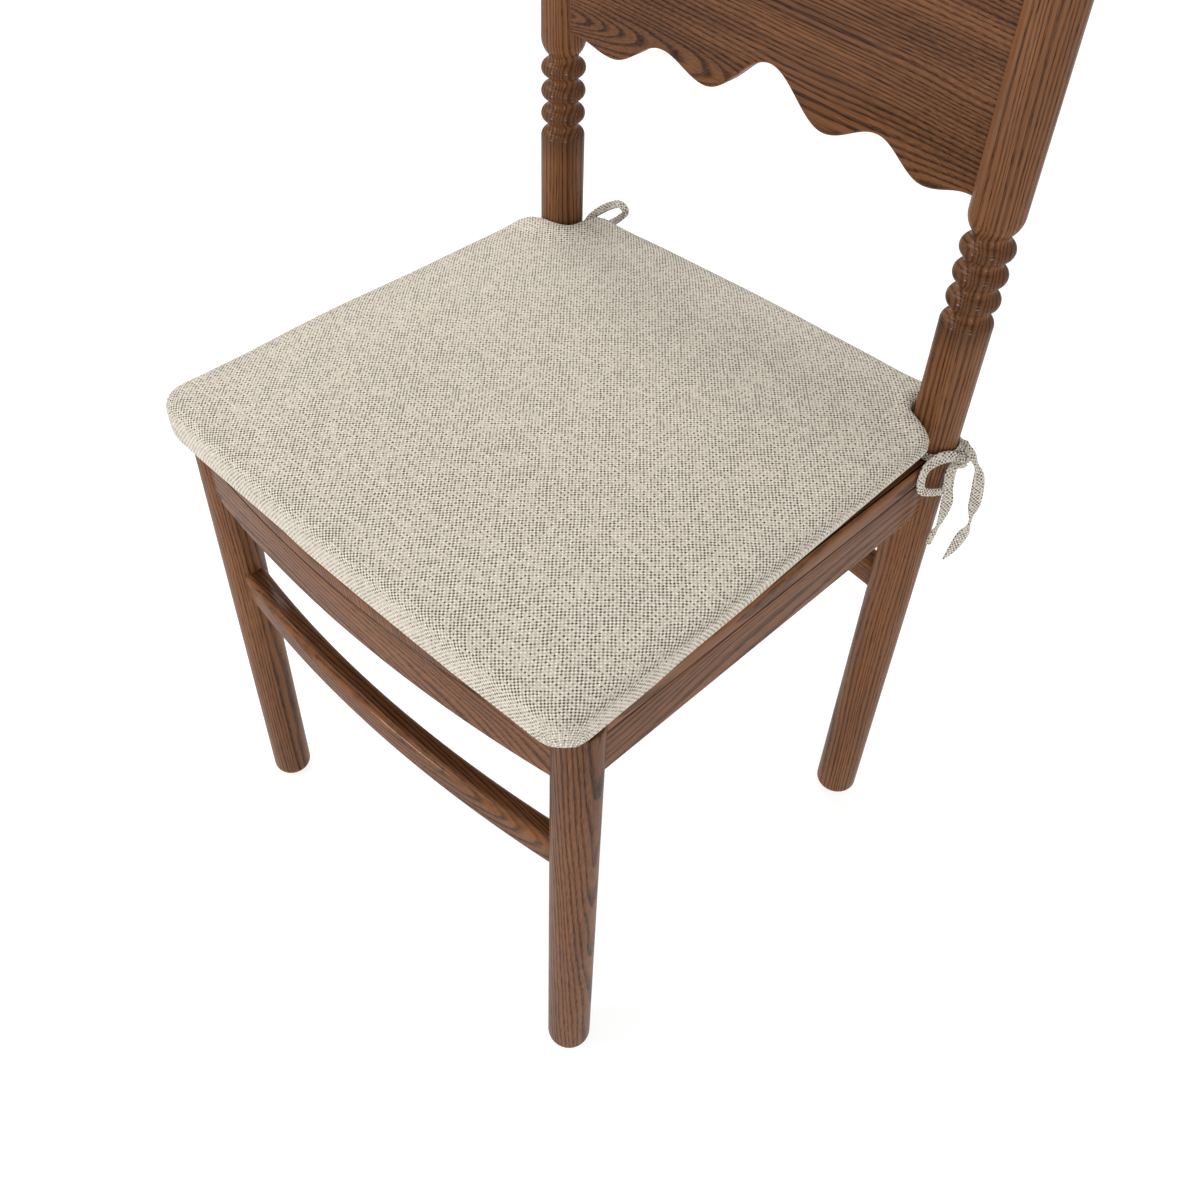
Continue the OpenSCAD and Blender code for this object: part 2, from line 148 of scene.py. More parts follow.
def arc(centre: Point2, radius: float, start: float, end: float, steps: int) -> list[Point2]:
    """Points on a circle between two angles in degrees, both ends included."""
    angles = [math.radians(start + (end - start) * i / steps) for i in range(steps + 1)]
    return [(centre[0] + radius * math.cos(a), centre[1] + radius * math.sin(a)) for a in angles]


def lathe(profile: Sequence[Point2], wear_and_shade: Sequence[float], axis: Point2, turns: int = 128) -> Solid:
    """Turns a half section round an upright axis.

    Args:
        profile: (radius, height) from the middle of the bottom to the middle of the top.
        wear_and_shade: above 0 how worn each profile point is; below 0 how much darker it is painted, as
            painted shade in recesses and, on bead crests, stain with a painted dark reflection.
        axis: where the axis stands.
        turns: the number of facets round.

    Returns:
        A closed solid.
    """
    angles = 2 * math.pi * np.arange(turns) / turns
    ring = np.stack([np.cos(angles), np.sin(angles)], axis=1)
    points = [(axis[0], axis[1], profile[0][1]), (axis[0], axis[1], profile[-1][1])]
    marks = [wear_and_shade[0], wear_and_shade[-1]]
    for (radius, height), worn in zip(profile[1:-1], wear_and_shade[1:-1]):
        points += [(axis[0] + radius * c, axis[1] + radius * s, height) for c, s in ring]
        marks += [worn] * turns
    rows = len(profile) - 2
    faces: list[Sequence[int]] = []
    for i in range(turns):
        j = (i + 1) % turns
        faces.append((0, 2 + j, 2 + i))
        last = 2 + (rows - 1) * turns
        faces.append((1, last + i, last + j))
        for row in range(rows - 1):
            a = 2 + row * turns
            faces.append((a + i, a + j, a + turns + j, a + turns + i))
    return Solid(np.array(points), faces, np.array(marks))


@dataclass(frozen=True)
class Section:
    """A bar's rounded section, as a closed loop of places on it.

    offsets run outwards from the bar's middle line, shares say how far up from the lower to the
    upper edge a place is fixed, and rises are added to that.
    """

    offsets: np.ndarray
    shares: np.ndarray
    rises: np.ndarray
    wear_and_shade: np.ndarray

    @staticmethod
    def rounded(
        thick: float, low_round: float, high_round: float, top_wear_and_shade: float = 1.0, flats: int = 4,
    ) -> "Section":
        """A section with its lower and upper edges rounded.

        Args:
            thick: the bar's thickness.
            low_round: the radius of the two lower edges.
            high_round: the radius of the two upper edges.
            top_wear_and_shade: how worn the upper edges are; below 0 they are darkened instead, as painted
                shade where another part closes over them.
            flats: how many faces each flat side is cut into.

        Returns:
            The section.
        """
        rows: list[tuple[float, float, float, float]] = []
        steps = 6
        corners = (
            (1, 0, low_round, -90), (1, 1, high_round, 0), (-1, 1, high_round, 90), (-1, 0, low_round, 180),
        )
        for side, share, radius, start in corners:
            for i in range(steps + 1):
                a = math.radians(start + 90 * i / steps)
                offset = side * (thick / 2 - radius) + radius * math.cos(a)
                rise = (radius if share == 0 else -radius) + radius * math.sin(a)
                worn = math.sin(math.pi * i / steps) * (top_wear_and_shade if share else 1.0)
                rows.append((offset, share, rise, worn))
            if start == 0:
                across = thick / 2 - radius
                rows += [(across * (1 - 2 * i / flats), 1, 0, 0) for i in range(1, flats)]
            elif start == -90:
                rows += [(thick / 2, i / flats, 0, 0) for i in range(1, flats)]
            elif start == 90:
                rows += [(-thick / 2, 1 - i / flats, 0, 0) for i in range(1, flats)]
            else:
                across = thick / 2 - radius
                rows += [(across * (2 * i / flats - 1), 0, 0, 0) for i in range(1, flats)]
        offsets, shares, rises, wear_and_shade = np.array(rows, float).T
        return Section(offsets, shares, rises, wear_and_shade)


@dataclass(frozen=True)
class Upright:
    """A round leg or post that a bar's end is coped to."""

    x: float
    y: float
    radius: float

    @staticmethod
    def of(node: str) -> "Upright":
        """The upright that a CAD node is."""
        return Upright(*axis_of(node), radius_of(node))


def coped_bar(
    section: Section,
    edges: Callable[[np.ndarray], tuple[np.ndarray, np.ndarray]],
    line: Callable[[np.ndarray, np.ndarray], np.ndarray],
    ends: tuple[Upright, Upright],
    run: Run,
    stations: int = 48,
) -> Solid:
    """Runs a section between two uprights, with both its ends coped to their round surfaces.

    Args:
        section: the section.
        edges: gives the heights of the lower and the upper edge at places along the bar.
        line: gives the place across the bar at an offset and a place along it.
        ends: the uprights at the low and the high end.
        run: the way the bar runs.
        stations: the number of sections along the bar.

    Returns:
        A closed solid.
    """
    along = [(u.x, u.y)[run.value] for u in ends]
    across = [(u.x, u.y)[1 - run.value] for u in ends]
    reach = [np.full(len(section.offsets), a) for a in along]
    for _ in range(12):
        for k, way in enumerate((1, -1)):
            gap = line(section.offsets, reach[k]) - across[k]
            inside = np.clip(ends[k].radius ** 2 - gap**2, 0, None)
            reach[k] = along[k] + way * np.sqrt(inside)
    share = np.linspace(0, 1, stations)[:, None]
    place = reach[0] + (reach[1] - reach[0]) * share
    low, high = edges(place)
    height = low + (high - low) * section.shares + section.rises
    side = line(np.broadcast_to(section.offsets, place.shape), place)
    pair = (place, side) if run is Run.ACROSS else (side, place)
    grid = np.stack([*pair, height], axis=2)
    count = len(section.offsets)
    points = np.concatenate([grid.reshape(-1, 3), grid[[0, -1]].mean(axis=1)])
    faces: list[Sequence[int]] = []
    first, last = stations * count, stations * count + 1
    for i in range(count):
        j = (i + 1) % count
        faces.append((first, j, i))
        faces.append((last, (stations - 1) * count + i, (stations - 1) * count + j))
        faces += [
            (s * count + i, s * count + j, (s + 1) * count + j, (s + 1) * count + i)
            for s in range(stations - 1)
        ]
    wear_and_shade = np.concatenate([np.tile(section.wear_and_shade, stations), [0, 0]])
    return Solid(points, faces, wear_and_shade)


def outward_normals(loop: np.ndarray) -> np.ndarray:
    """The outward unit normals at the points of a closed anticlockwise loop seen from above."""
    step = np.roll(loop, -1, axis=0) - np.roll(loop, 1, axis=0)
    step /= np.linalg.norm(step, axis=1, keepdims=True) + 1e-12
    return np.stack([step[:, 1], -step[:, 0]], axis=1)


def layered(loop: np.ndarray, layers: Sequence[tuple[np.ndarray, float, float]]) -> Solid:
    """Stacks drawn-in copies of a loop, and closes the lowest and the highest with flat faces.

    Args:
        loop: the outline seen from above, anticlockwise.
        layers: for each copy, how far each point is drawn in, its height, and its wear.

    Returns:
        A closed solid.
    """
    normal = outward_normals(loop)
    count = len(loop)
    rows = [
        np.column_stack([loop - normal * np.asarray(inset)[..., None], np.full(count, height)])
        for inset, height, _ in layers
    ]
    faces: list[Sequence[int]] = [list(range(count))[::-1]]
    for row in range(len(rows) - 1):
        a, b = row * count, (row + 1) * count
        faces += [(a + i, a + (i + 1) % count, b + (i + 1) % count, b + i) for i in range(count)]
    faces.append([(len(rows) - 1) * count + i for i in range(count)])
    wear_and_shade = np.concatenate([np.full(count, worn) for _, _, worn in layers])
    return Solid(np.concatenate(rows), faces, wear_and_shade)


# ---------------------------------------------------------------- material nodes


class Graph:
    """Adds nodes to one node tree and links them."""

    def __init__(self, tree: bpy.types.NodeTree) -> None:
        """Starts on a tree."""
        self.tree = tree

    def add(self, kind: str, **settings: object) -> bpy.types.Node:
        """Adds a node of a kind and sets its properties."""
        node = self.tree.nodes.new(kind)
        for key, value in settings.items():
            setattr(node, key, value)
        return node

    def feed(self, socket: bpy.types.NodeSocket, value: Feed) -> None:
        """Links a socket into another, or sets its value."""
        if isinstance(value, bpy.types.NodeSocket):
            self.tree.links.new(value, socket)
        else:
            socket.default_value = value

    def math(self, operation: str, a: Feed, b: Feed = 0.0, clamp: bool = False) -> bpy.types.NodeSocket:
        """One number from one or two others."""
        node = self.add("ShaderNodeMath", operation=operation, use_clamp=clamp)
        self.feed(node.inputs[0], a)
        self.feed(node.inputs[1], b)
        return node.outputs[0]

    def times(self, a: Feed, b: Feed, clamp: bool = False) -> bpy.types.NodeSocket:
        """One number times another."""
        return self.math("MULTIPLY", a, b, clamp)

    def plus(self, a: Feed, b: Feed, clamp: bool = False) -> bpy.types.NodeSocket:
        """One number plus another."""
        return self.math("ADD", a, b, clamp)

    def vector(self, operation: str, a: Feed, b: Feed) -> bpy.types.NodeSocket:
        """One vector from two others."""
        node = self.add("ShaderNodeVectorMath", operation=operation)
        self.feed(node.inputs[0], a)
        self.feed(node.inputs[1], b)
        return node.outputs[0]

    def parts(self, vector: Feed) -> list[bpy.types.NodeSocket]:
        """The three numbers of a vector."""
        node = self.add("ShaderNodeSeparateXYZ")
        self.feed(node.inputs[0], vector)
        return list(node.outputs)

    def joined(self, x: Feed, y: Feed, z: Feed = 0.0) -> bpy.types.NodeSocket:
        """A vector from three numbers."""
        node = self.add("ShaderNodeCombineXYZ")
        for socket, value in zip(node.inputs, (x, y, z)):
            self.feed(socket, value)
        return node.outputs[0]

    def noise(
        self, vector: Feed, scale: float, detail: float = 2.0, rough: float = 0.5, output: str = "Fac",
    ) -> bpy.types.NodeSocket:
        """A soft random value from 0 to 1, or three of them as a colour."""
        node = self.add("ShaderNodeTexNoise")
        self.feed(node.inputs["Vector"], vector)
        self.feed(node.inputs["Scale"], scale)
        self.feed(node.inputs["Detail"], detail)
        self.feed(node.inputs["Roughness"], rough)
        return node.outputs[output]

    def place(self) -> bpy.types.NodeSocket:
        """The place on the object, in metres."""
        return self.add("ShaderNodeTexCoord").outputs["Object"]

    def random(self, vector: Feed) -> bpy.types.NodeSocket:
        """An unrelated random value from 0 to 1 for each vector."""
        node = self.add("ShaderNodeTexWhiteNoise", noise_dimensions="3D")
        self.feed(node.inputs["Vector"], vector)
        return node.outputs["Value"]

    def rise(
        self, value: Feed, low: float, high: float, start: Feed = 0.0, end: Feed = 1.0,
    ) -> bpy.types.NodeSocket:
        """A smooth step from start to end as value goes from low to high."""
        node = self.add("ShaderNodeMapRange", interpolation_type="SMOOTHSTEP")
        inputs = {"Value": value, "From Min": low, "From Max": high, "To Min": start, "To Max": end}
        for key, item in inputs.items():
            self.feed(node.inputs[key], item)
        return node.outputs["Result"]

    def mix(self, factor: Feed, a: Feed, b: Feed, blend: str = "MIX") -> bpy.types.NodeSocket:
        """A colour between two others."""
        node = self.add("ShaderNodeMix", data_type="RGBA", blend_type=blend)
        self.feed(node.inputs["Factor"], factor)
        colours = [s for s in node.inputs if s.type == "RGBA"]
        self.feed(colours[0], a)
        self.feed(colours[1], b)
        return next(s for s in node.outputs if s.type == "RGBA")

    def mark(self, name: str, output: str) -> bpy.types.NodeSocket:
        """A value that the mesh stores under a name."""
        return self.add("ShaderNodeAttribute", attribute_name=name).outputs[output]

    def use(self, group: bpy.types.NodeTree, **values: Feed) -> bpy.types.Node:
        """Places a node group and feeds its inputs, with _ in a name standing for a space."""
        node = self.add("ShaderNodeGroup", node_tree=group)
        for key, value in values.items():
            self.feed(node.inputs[key.replace("_", " ")], value)
        return node

    def bump(self, height: Feed, strength: float) -> bpy.types.NodeSocket:
        """A normal from a height in millimetres."""
        node = self.add("ShaderNodeBump")
        self.feed(node.inputs["Height"], height)
        node.inputs["Distance"].default_value = MM
        node.inputs["Strength"].default_value = strength
        return node.outputs["Normal"]


def start_group(
    name: str, takes: dict[str, str], gives: dict[str, str],
) -> tuple[Graph, bpy.types.Node, bpy.types.Node]:
    """Starts a shader node group.

    Args:
        name: the group's name.
        takes: the inputs' names and kinds, Float, Vector or Color.
        gives: the outputs' names and kinds.

    Returns:
        Its graph, and the nodes that hold its inputs and its outputs.
    """
    tree = bpy.data.node_groups.new(name, "ShaderNodeTree")
    for key, kind in takes.items():
        tree.interface.new_socket(name=key, in_out="INPUT", socket_type=f"NodeSocket{kind}")
    for key, kind in gives.items():
        tree.interface.new_socket(name=key, in_out="OUTPUT", socket_type=f"NodeSocket{kind}")
    graph = Graph(tree)
    return graph, graph.add("NodeGroupInput"), graph.add("NodeGroupOutput")


def open_grain_group() -> bpy.types.NodeTree:
    """Ring-porous wood: growth rings round a distant pith, with open pores in the early wood.

    Coordinates are the wood's own, in metres, with x along the fibres and the pith at y = z = 0.
    """
    graph, take, give = start_group(
        "open_grain",
        {
            "Coordinates": "Vector", "Ring": "Float", "Stain": "Float",
            "Light": "Color", "Dark": "Color", "Pore": "Color",
        },
        {"Color": "Color", "Early": "Float", "Height": "Float"},
    )
    x, y, z = graph.parts(graph.vector("MULTIPLY", take.outputs["Coordinates"], (1000, 1000, 1000)))
    slow = graph.vector("MULTIPLY", graph.joined(x, y, z), (0.005, 0.035, 0.035))
    wobble = graph.times(graph.math("SUBTRACT", graph.noise(slow, 1.0, 2.0), 0.5), 9.0)
    distance = graph.math("SQRT", graph.plus(graph.math("POWER", y, 2.0), graph.math("POWER", z, 2.0)))
    rings = graph.math("DIVIDE", graph.plus(distance, wobble), take.outputs["Ring"])
    uneven = graph.noise(graph.joined(graph.times(rings, 0.37), 3.1, 0.0), 1.0, 1.0)
    phase = graph.math("FRACT", graph.plus(rings, graph.times(uneven, 1.6)))
    early = graph.times(graph.rise(phase, 0.0, 0.1), graph.rise(phase, 0.22, 0.6, 1.0, 0.0))
    fibre = graph.vector("MULTIPLY", graph.joined(x, y, z), (0.008, 1.7, 1.7))
    streaks = graph.rise(graph.noise(fibre, 1.0, 3.0, 0.6), 0.38, 0.66)
    thin = graph.vector("MULTIPLY", graph.joined(x, y, z), (0.075, 1.9, 1.9))
    pores = graph.rise(graph.noise(thin, 1.0, 2.0, 0.6), 0.5, 0.62)
    pores = graph.times(pores, graph.plus(graph.times(early, 0.8), 0.2))
    patch = graph.vector("MULTIPLY", graph.joined(x, y, z), (0.003, 0.045, 0.045))
    tone = graph.rise(graph.noise(patch, 1.0, 2.0), 0.3, 0.7)
    darkness = graph.plus(graph.times(early, 0.42), graph.times(streaks, 0.36))
    darkness = graph.plus(darkness, graph.times(tone, 0.3))
    darkness = graph.plus(darkness, take.outputs["Stain"], clamp=True)
    wood = graph.mix(darkness, take.outputs["Light"], take.outputs["Dark"])
    wood = graph.mix(graph.times(pores, 0.8), wood, take.outputs["Pore"])
    graph.feed(give.inputs["Color"], wood)
    graph.feed(give.inputs["Early"], early)
    sunk = graph.plus(graph.times(pores, -0.16), graph.times(streaks, -0.04))
    graph.feed(give.inputs["Height"], sunk)
    return graph.tree


def handling_group() -> bpy.types.NodeTree:
    """Wear on raised edges from the mesh's mark of wear and shade, broken up by noise; where that mark is
    below 0 the colour is darkened instead, as painted shade in coves, necks and joints and as darker stain
    with a painted dark reflection on bead crests.
    """
    graph, take, give = start_group(
        "handling",
        {"Color": "Color", "Worn": "Color", "Grime": "Color", "Amount": "Float"},
        {"Color": "Color"},
    )
    wear_and_shade = graph.mark("wear_and_shade", "Fac")
    place = graph.place()
    broken = graph.rise(graph.noise(place, 60.0, 3.0, 0.6), 0.3, 0.62)
    rubbed = graph.times(graph.times(wear_and_shade, broken), take.outputs["Amount"], clamp=True)
    # Painted shade: below 0 the mark darkens the colour, in coves, necks and joints, and on bead crests
    # together with darker stain.
    hollow = graph.times(wear_and_shade, -1.0, clamp=True)
    colour = graph.mix(rubbed, take.outputs["Color"], take.outputs["Worn"])
    colour = graph.mix(graph.times(hollow, 0.5), colour, take.outputs["Grime"])
    graph.feed(give.inputs["Color"], colour)
    return graph.tree


def melange_group() -> bpy.types.NodeTree:
    """A plain weave of thick pale yarn beads, with darker flecks of the other yarn between them, and painted
    shade between the beads and the rows.

    Coordinates are in metres on the flat cloth.
    """
    graph, take, give = start_group(
        "melange_weave",
        {
            "Coordinates": "Vector", "Warp": "Float", "Weft": "Float", "Contrast": "Float",
            "Light": "Color", "Shade": "Color", "Fleck": "Color",
        },
        {"Color": "Color", "Height": "Float"},
    )
    flat = graph.vector("MULTIPLY", take.outputs["Coordinates"], (1000, 1000, 1000))
    moved = flat
    for scale, detail, reach in ((0.045, 3.0, 2.0), (0.5, 1.0, 0.85)):
        wander = graph.vector("SUBTRACT", graph.noise(flat, scale, detail, output="Color"), (0.5, 0.5, 0.5))
        moved = graph.vector("ADD", moved, graph.vector("MULTIPLY", wander, (reach, reach, 0.0)))
    x, y, _ = graph.parts(moved)
    u = graph.math("DIVIDE", x, take.outputs["Warp"])
    v = graph.math("DIVIDE", y, take.outputs["Weft"])
    across, along = (graph.math("COSINE", graph.times(way, math.pi)) for way in (u, v))
    checks = graph.times(across, along)
    column = graph.math("FLOOR", graph.plus(u, 0.5))
    row = graph.math("FLOOR", graph.plus(v, 0.5))
    chance = graph.random(graph.joined(column, row, 1.0))
    other = graph.random(graph.joined(column, row, 7.0))
    weft_run = graph.noise(graph.joined(graph.times(u, 0.06), row, 5.0), 0.8, 1.0)
    warp_run = graph.noise(graph.joined(column, graph.times(v, 0.06), 9.0), 0.8, 1.0)
    patch = graph.noise(flat, 0.03, 2.0)
    flow = graph.plus(graph.plus(weft_run, warp_run), patch)
    odd_row = graph.times(graph.math("PINGPONG", row, 1.0), 0.35)
    depth = graph.plus(graph.rise(flow, 1.1, 1.9, 0.02, 0.6), graph.rise(chance, 0.15, 0.9))
    depth = graph.math("SUBTRACT", depth, odd_row)
    depth = graph.times(depth, take.outputs["Contrast"], clamp=True)
    gap = graph.rise(checks, 0.05, -0.7)
    # Thin dark lines between the rows, of random strength: dark yarn, with painted shade in the gaps between
    # rows.
    seam = graph.rise(graph.math("ABSOLUTE", along), 0.55, 0.05)
    rib = graph.times(seam, graph.plus(graph.times(other, 0.3), 0.08))
    bead = graph.rise(checks, -0.1, 0.62)
    beads = graph.mix(graph.times(other, 0.5), take.outputs["Light"], take.outputs["Shade"])
    # Darker between the yarn beads: painted shade in the hollows of the weave.
    between = graph.mix(graph.math("SUBTRACT", 1.0, bead), beads, take.outputs["Shade"])
    ribs = graph.times(rib, take.outputs["Contrast"])
    flecks = graph.math("MAXIMUM", graph.times(gap, depth), ribs)
    graph.feed(give.inputs["Color"], graph.mix(flecks, between, take.outputs["Fleck"]))
    height = graph.plus(graph.times(bead, 0.55), graph.times(gap, 0.16))
    fuzz = graph.times(graph.noise(flat, 3.0, 2.0), 0.12)
    graph.feed(give.inputs["Height"], graph.plus(height, fuzz))
    return graph.tree


class Groups:
    """The node groups that several finishes share, each built once."""

    def __init__(self) -> None:
        """Builds them."""
        self.grain = open_grain_group()
        self.handling = handling_group()
        self.weave = melange_group()


def start_material(name: str) -> tuple[bpy.types.Material, Graph, bpy.types.Node]:
    """A new material with its graph and its Principled shader."""
    material = bpy.data.materials.new(name)
    material.use_nodes = True
    material.node_tree.nodes.clear()
    graph = Graph(material.node_tree)
    shader = graph.add("ShaderNodeBsdfPrincipled")
    output = graph.add("ShaderNodeOutputMaterial")
    graph.feed(output.inputs["Surface"], shader.outputs["BSDF"])
    return material, graph, shader


Colour = tuple[float, float, float, float]


def linear(value: float) -> float:
    """A linear light value from a display value of 0 to 255."""
    share = value / 255
    return share / 12.92 if share <= 0.04045 else ((share + 0.055) / 1.055) ** 2.4


def colour(red: float, green: float, blue: float) -> Colour:
    """A linear colour from display values of 0 to 255."""
    return linear(red), linear(green), linear(blue), 1.0


@dataclass(frozen=True)
class StainedWood:
    """Brown-stained open-grained wood under satin lacquer."""

    name: str = "stained_wood"
    light: Colour = colour(128, 84, 53)
    dark: Colour = colour(50, 28, 17)
    pore: Colour = colour(28, 16, 10)
    worn: Colour = colour(138, 90, 54)
    # Darkest colour of painted shade in recesses and joints, also used for the darker stain and painted dark
    # reflection on bead crests.
    grime: Colour = colour(34, 20, 13)
    ring: float = 3.1

    def build(self, groups: Groups) -> bpy.types.Material:
        """Makes the material."""
        material, graph, shader = start_material(self.name)
        grain = graph.use(
            groups.grain, Coordinates=graph.mark("grain", "Vector"), Ring=self.ring,
            Stain=graph.mark("stain", "Fac"), Light=self.light, Dark=self.dark, Pore=self.pore,
        )
        handled = graph.use(
            groups.handling, Color=grain.outputs["Color"], Worn=self.worn, Grime=self.grime, Amount=0.55,
        )
        graph.feed(shader.inputs["Base Color"], handled.outputs["Color"])
        place = graph.place()
        smear = graph.noise(place, 22.0, 3.0, 0.6)
        rough = graph.plus(graph.times(smear, 0.16), 0.44)
        rough = graph.math("SUBTRACT", rough, graph.times(grain.outputs["Height"], 0.8))
        graph.feed(shader.inputs["Roughness"], rough)
        graph.feed(shader.inputs["Normal"], graph.bump(grain.outputs["Height"], 0.6))
        shader.inputs["Specular IOR Level"].default_value = 0.04
        shader.inputs["Coat Weight"].default_value = 0.2
        shader.inputs["Coat Roughness"].default_value = 0.15
        return material


@dataclass(frozen=True)
class RawWood:
    """Planed wood with no stain, on the parts inside the seat."""

    name: str = "raw_wood"
    light: Colour = colour(198, 164, 122)
    dark: Colour = colour(158, 120, 82)
    pore: Colour = colour(110, 78, 50)
    ring: float = 3.0

    def build(self, groups: Groups) -> bpy.types.Material:
        """Makes the material."""
        material, graph, shader = start_material(self.name)
        place = graph.place()
        moved = graph.vector("ADD", place, (0.31, 0.42, -0.36))
        grain = graph.use(
            groups.grain, Coordinates=moved, Ring=self.ring, Stain=0.0,
            Light=self.light, Dark=self.dark, Pore=self.pore,
        )
        graph.feed(shader.inputs["Base Color"], grain.outputs["Color"])
        rough = graph.plus(graph.times(grain.outputs["Early"], 0.1), 0.68)
        graph.feed(shader.inputs["Roughness"], rough)
        graph.feed(shader.inputs["Normal"], graph.bump(grain.outputs["Height"], 0.8))
        return material


@dataclass(frozen=True)
class MelangeCloth:
    """The pad's coarse cloth: cream beads with dark flecks."""

    name: str = "melange_cloth"
    warp: float = 1.75
    weft: float = 1.89
    light: Colour = colour(238, 230, 217)
    shade: Colour = colour(196, 186, 170)
    fleck: Colour = colour(58, 49, 40)

    def build(self, groups: Groups) -> bpy.types.Material:
        """Makes the material."""
        material, graph, shader = start_material(self.name)
        edge = graph.times(graph.mark("side", "Fac"), -0.42)
        fold = graph.times(graph.mark("fold", "Fac"), 0.6)
        contrast = graph.plus(graph.plus(edge, fold), 1.0)
        weave = graph.use(
            groups.weave, Coordinates=graph.mark("weave", "Vector"), Warp=self.warp, Weft=self.weft,
            Contrast=contrast, Light=self.light, Shade=self.shade, Fleck=self.fleck,
        )
        graph.feed(shader.inputs["Base Color"], weave.outputs["Color"])
        graph.feed(shader.inputs["Normal"], graph.bump(weave.outputs["Height"], 1.0))
        rough = graph.math("SUBTRACT", 0.95, graph.times(weave.outputs["Height"], 0.1))
        graph.feed(shader.inputs["Roughness"], rough)
        shader.inputs["Sheen Weight"].default_value = 0.12
        shader.inputs["Sheen Roughness"].default_value = 0.5
        shader.inputs["Specular IOR Level"].default_value = 0.25
        return material


@dataclass(frozen=True)
class ScrewSteel:
    """Zinc-plated steel of the wood screws."""

    name: str = "screw_steel"
    bright: Colour = colour(206, 200, 186)
    dull: Colour = colour(160, 152, 140)

    def build(self, groups: Groups) -> bpy.types.Material:
        """Makes the material."""
        material, graph, shader = start_material(self.name)
        place = graph.place()
        cloud = graph.noise(place, 300.0, 3.0, 0.6)
        paint = graph.mix(graph.rise(cloud, 0.3, 0.7), self.bright, self.dull)
        graph.feed(shader.inputs["Base Color"], paint)
        graph.feed(shader.inputs["Roughness"], graph.rise(cloud, 0.3, 0.7, 0.25, 0.45))
        graph.feed(shader.inputs["Normal"], graph.bump(cloud, 0.05))
        shader.inputs["Metallic"].default_value = 1.0
        return material


@dataclass(frozen=True)
class GlidePlastic:
    """Dark moulded plastic of the glides under the feet."""

    name: str = "glide_plastic"
    clean: Colour = colour(52, 46, 42)
    scuffed: Colour = colour(92, 86, 80)

    def build(self, groups: Groups) -> bpy.types.Material:
        """Makes the material."""
        material, graph, shader = start_material(self.name)
        place = graph.place()
        scuffs = graph.noise(graph.vector("MULTIPLY", place, (1.0, 7.0, 1.0)), 160.0, 4.0, 0.7)
        paint = graph.mix(graph.rise(scuffs, 0.55, 0.75), self.clean, self.scuffed)
        graph.feed(shader.inputs["Base Color"], paint)
        graph.feed(shader.inputs["Roughness"], graph.rise(scuffs, 0.3, 0.7, 0.45, 0.7))
        graph.feed(shader.inputs["Normal"], graph.bump(scuffs, 0.08))
        return material


@dataclass
class Finishes:
    """Every finish of the chair, made once."""

    groups: Groups = field(default_factory=Groups)

    def __post_init__(self) -> None:
        """Builds the materials."""
        kinds = (StainedWood(), RawWood(), MelangeCloth(), ScrewSteel(), GlidePlastic())
        self.made = {kind.name: kind.build(self.groups) for kind in kinds}
        self.made["tape_cloth"] = MelangeCloth(
            "tape_cloth", warp=1.6, weft=1.7, light=colour(240, 232, 220), shade=colour(203, 194, 180),
        ).build(self.groups)

    def dress(self, piece: bpy.types.Object, slot: str) -> None:
        """Gives a piece the finish of a slot."""
        piece.data.materials.clear()
        piece.data.materials.append(self.made[slot])


def settle(piece: bpy.types.Object, slot: str, finishes: Finishes, *nodes: str) -> None:
    """Dresses a piece, lets it ride on the chair, and has it stand for its CAD nodes."""
    finishes.dress(piece, slot)
    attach(piece, BODY)
    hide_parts(*nodes)
    log.info("%s: %d points", piece.name, len(piece.data.vertices))


# ---------------------------------------------------------------- wood


@dataclass(frozen=True)
class Grain:
    """How a piece was cut from its log.

    along is the axis that the fibres follow, pith is where the log's middle lies across them,
    lean is how far the fibres drift across for each metre along, shift moves the figure along, and
    stain is how much darker than the others the piece took its stain.
    """

    along: int
    pith: Point2
    lean: Point2 = (0.0, 0.0)
    shift: float = 0.0
    stain: float = 0.0

    def mark(self, piece: bpy.types.Object) -> None:
        """Stores the wood's own coordinates on a piece."""
        points = points_of(piece.data)
        middle = (points.min(axis=0) + points.max(axis=0)) / 2
        local = (points - middle)[:, [self.along, (self.along + 1) % 3, (self.along + 2) % 3]]
        run = local[:, 0]
        across = [local[:, k + 1] + self.pith[k] + self.lean[k] * run for k in range(2)]
        mark(piece.data, "grain", np.column_stack([run + self.shift, *across]))
        mark(piece.data, "stain", np.full(len(points), self.stain))


@dataclass
class FrontLeg:
    """A plain round front leg with a rounded foot."""

    side: Side
    grain: Grain
    foot_round: float = 9 * MM
    top_round: float = 1 * MM

    def build(self, finishes: Finishes) -> None:
        """Makes the leg."""
        node = f"front_leg_{self.side.word}"
        low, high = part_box(node)
        radius = radius_of(node)
        foot = arc((radius - self.foot_round, low.z + self.foot_round), self.foot_round, -90, 0, 12)
        rows = [low.z + 30 * MM + (high.z - low.z - 40 * MM) * i / 24 for i in range(25)]
        top = arc((radius - self.top_round, high.z - self.top_round), self.top_round, 0, 90, 4)
        profile = [(0, low.z), *foot, *[(radius, z) for z in rows], *top, (0, high.z)]
        scuffs = [0.5 * math.sin(math.pi * i / 12) for i in range(13)]
        wear_and_shade = [0.0, *scuffs, *[0.0] * (len(profile) - len(scuffs) - 1)]
        piece = lathe(profile, wear_and_shade, axis_of(node)).build(node + "_turned")
        self.grain.mark(piece)
        settle(piece, "stained_wood", finishes, node)


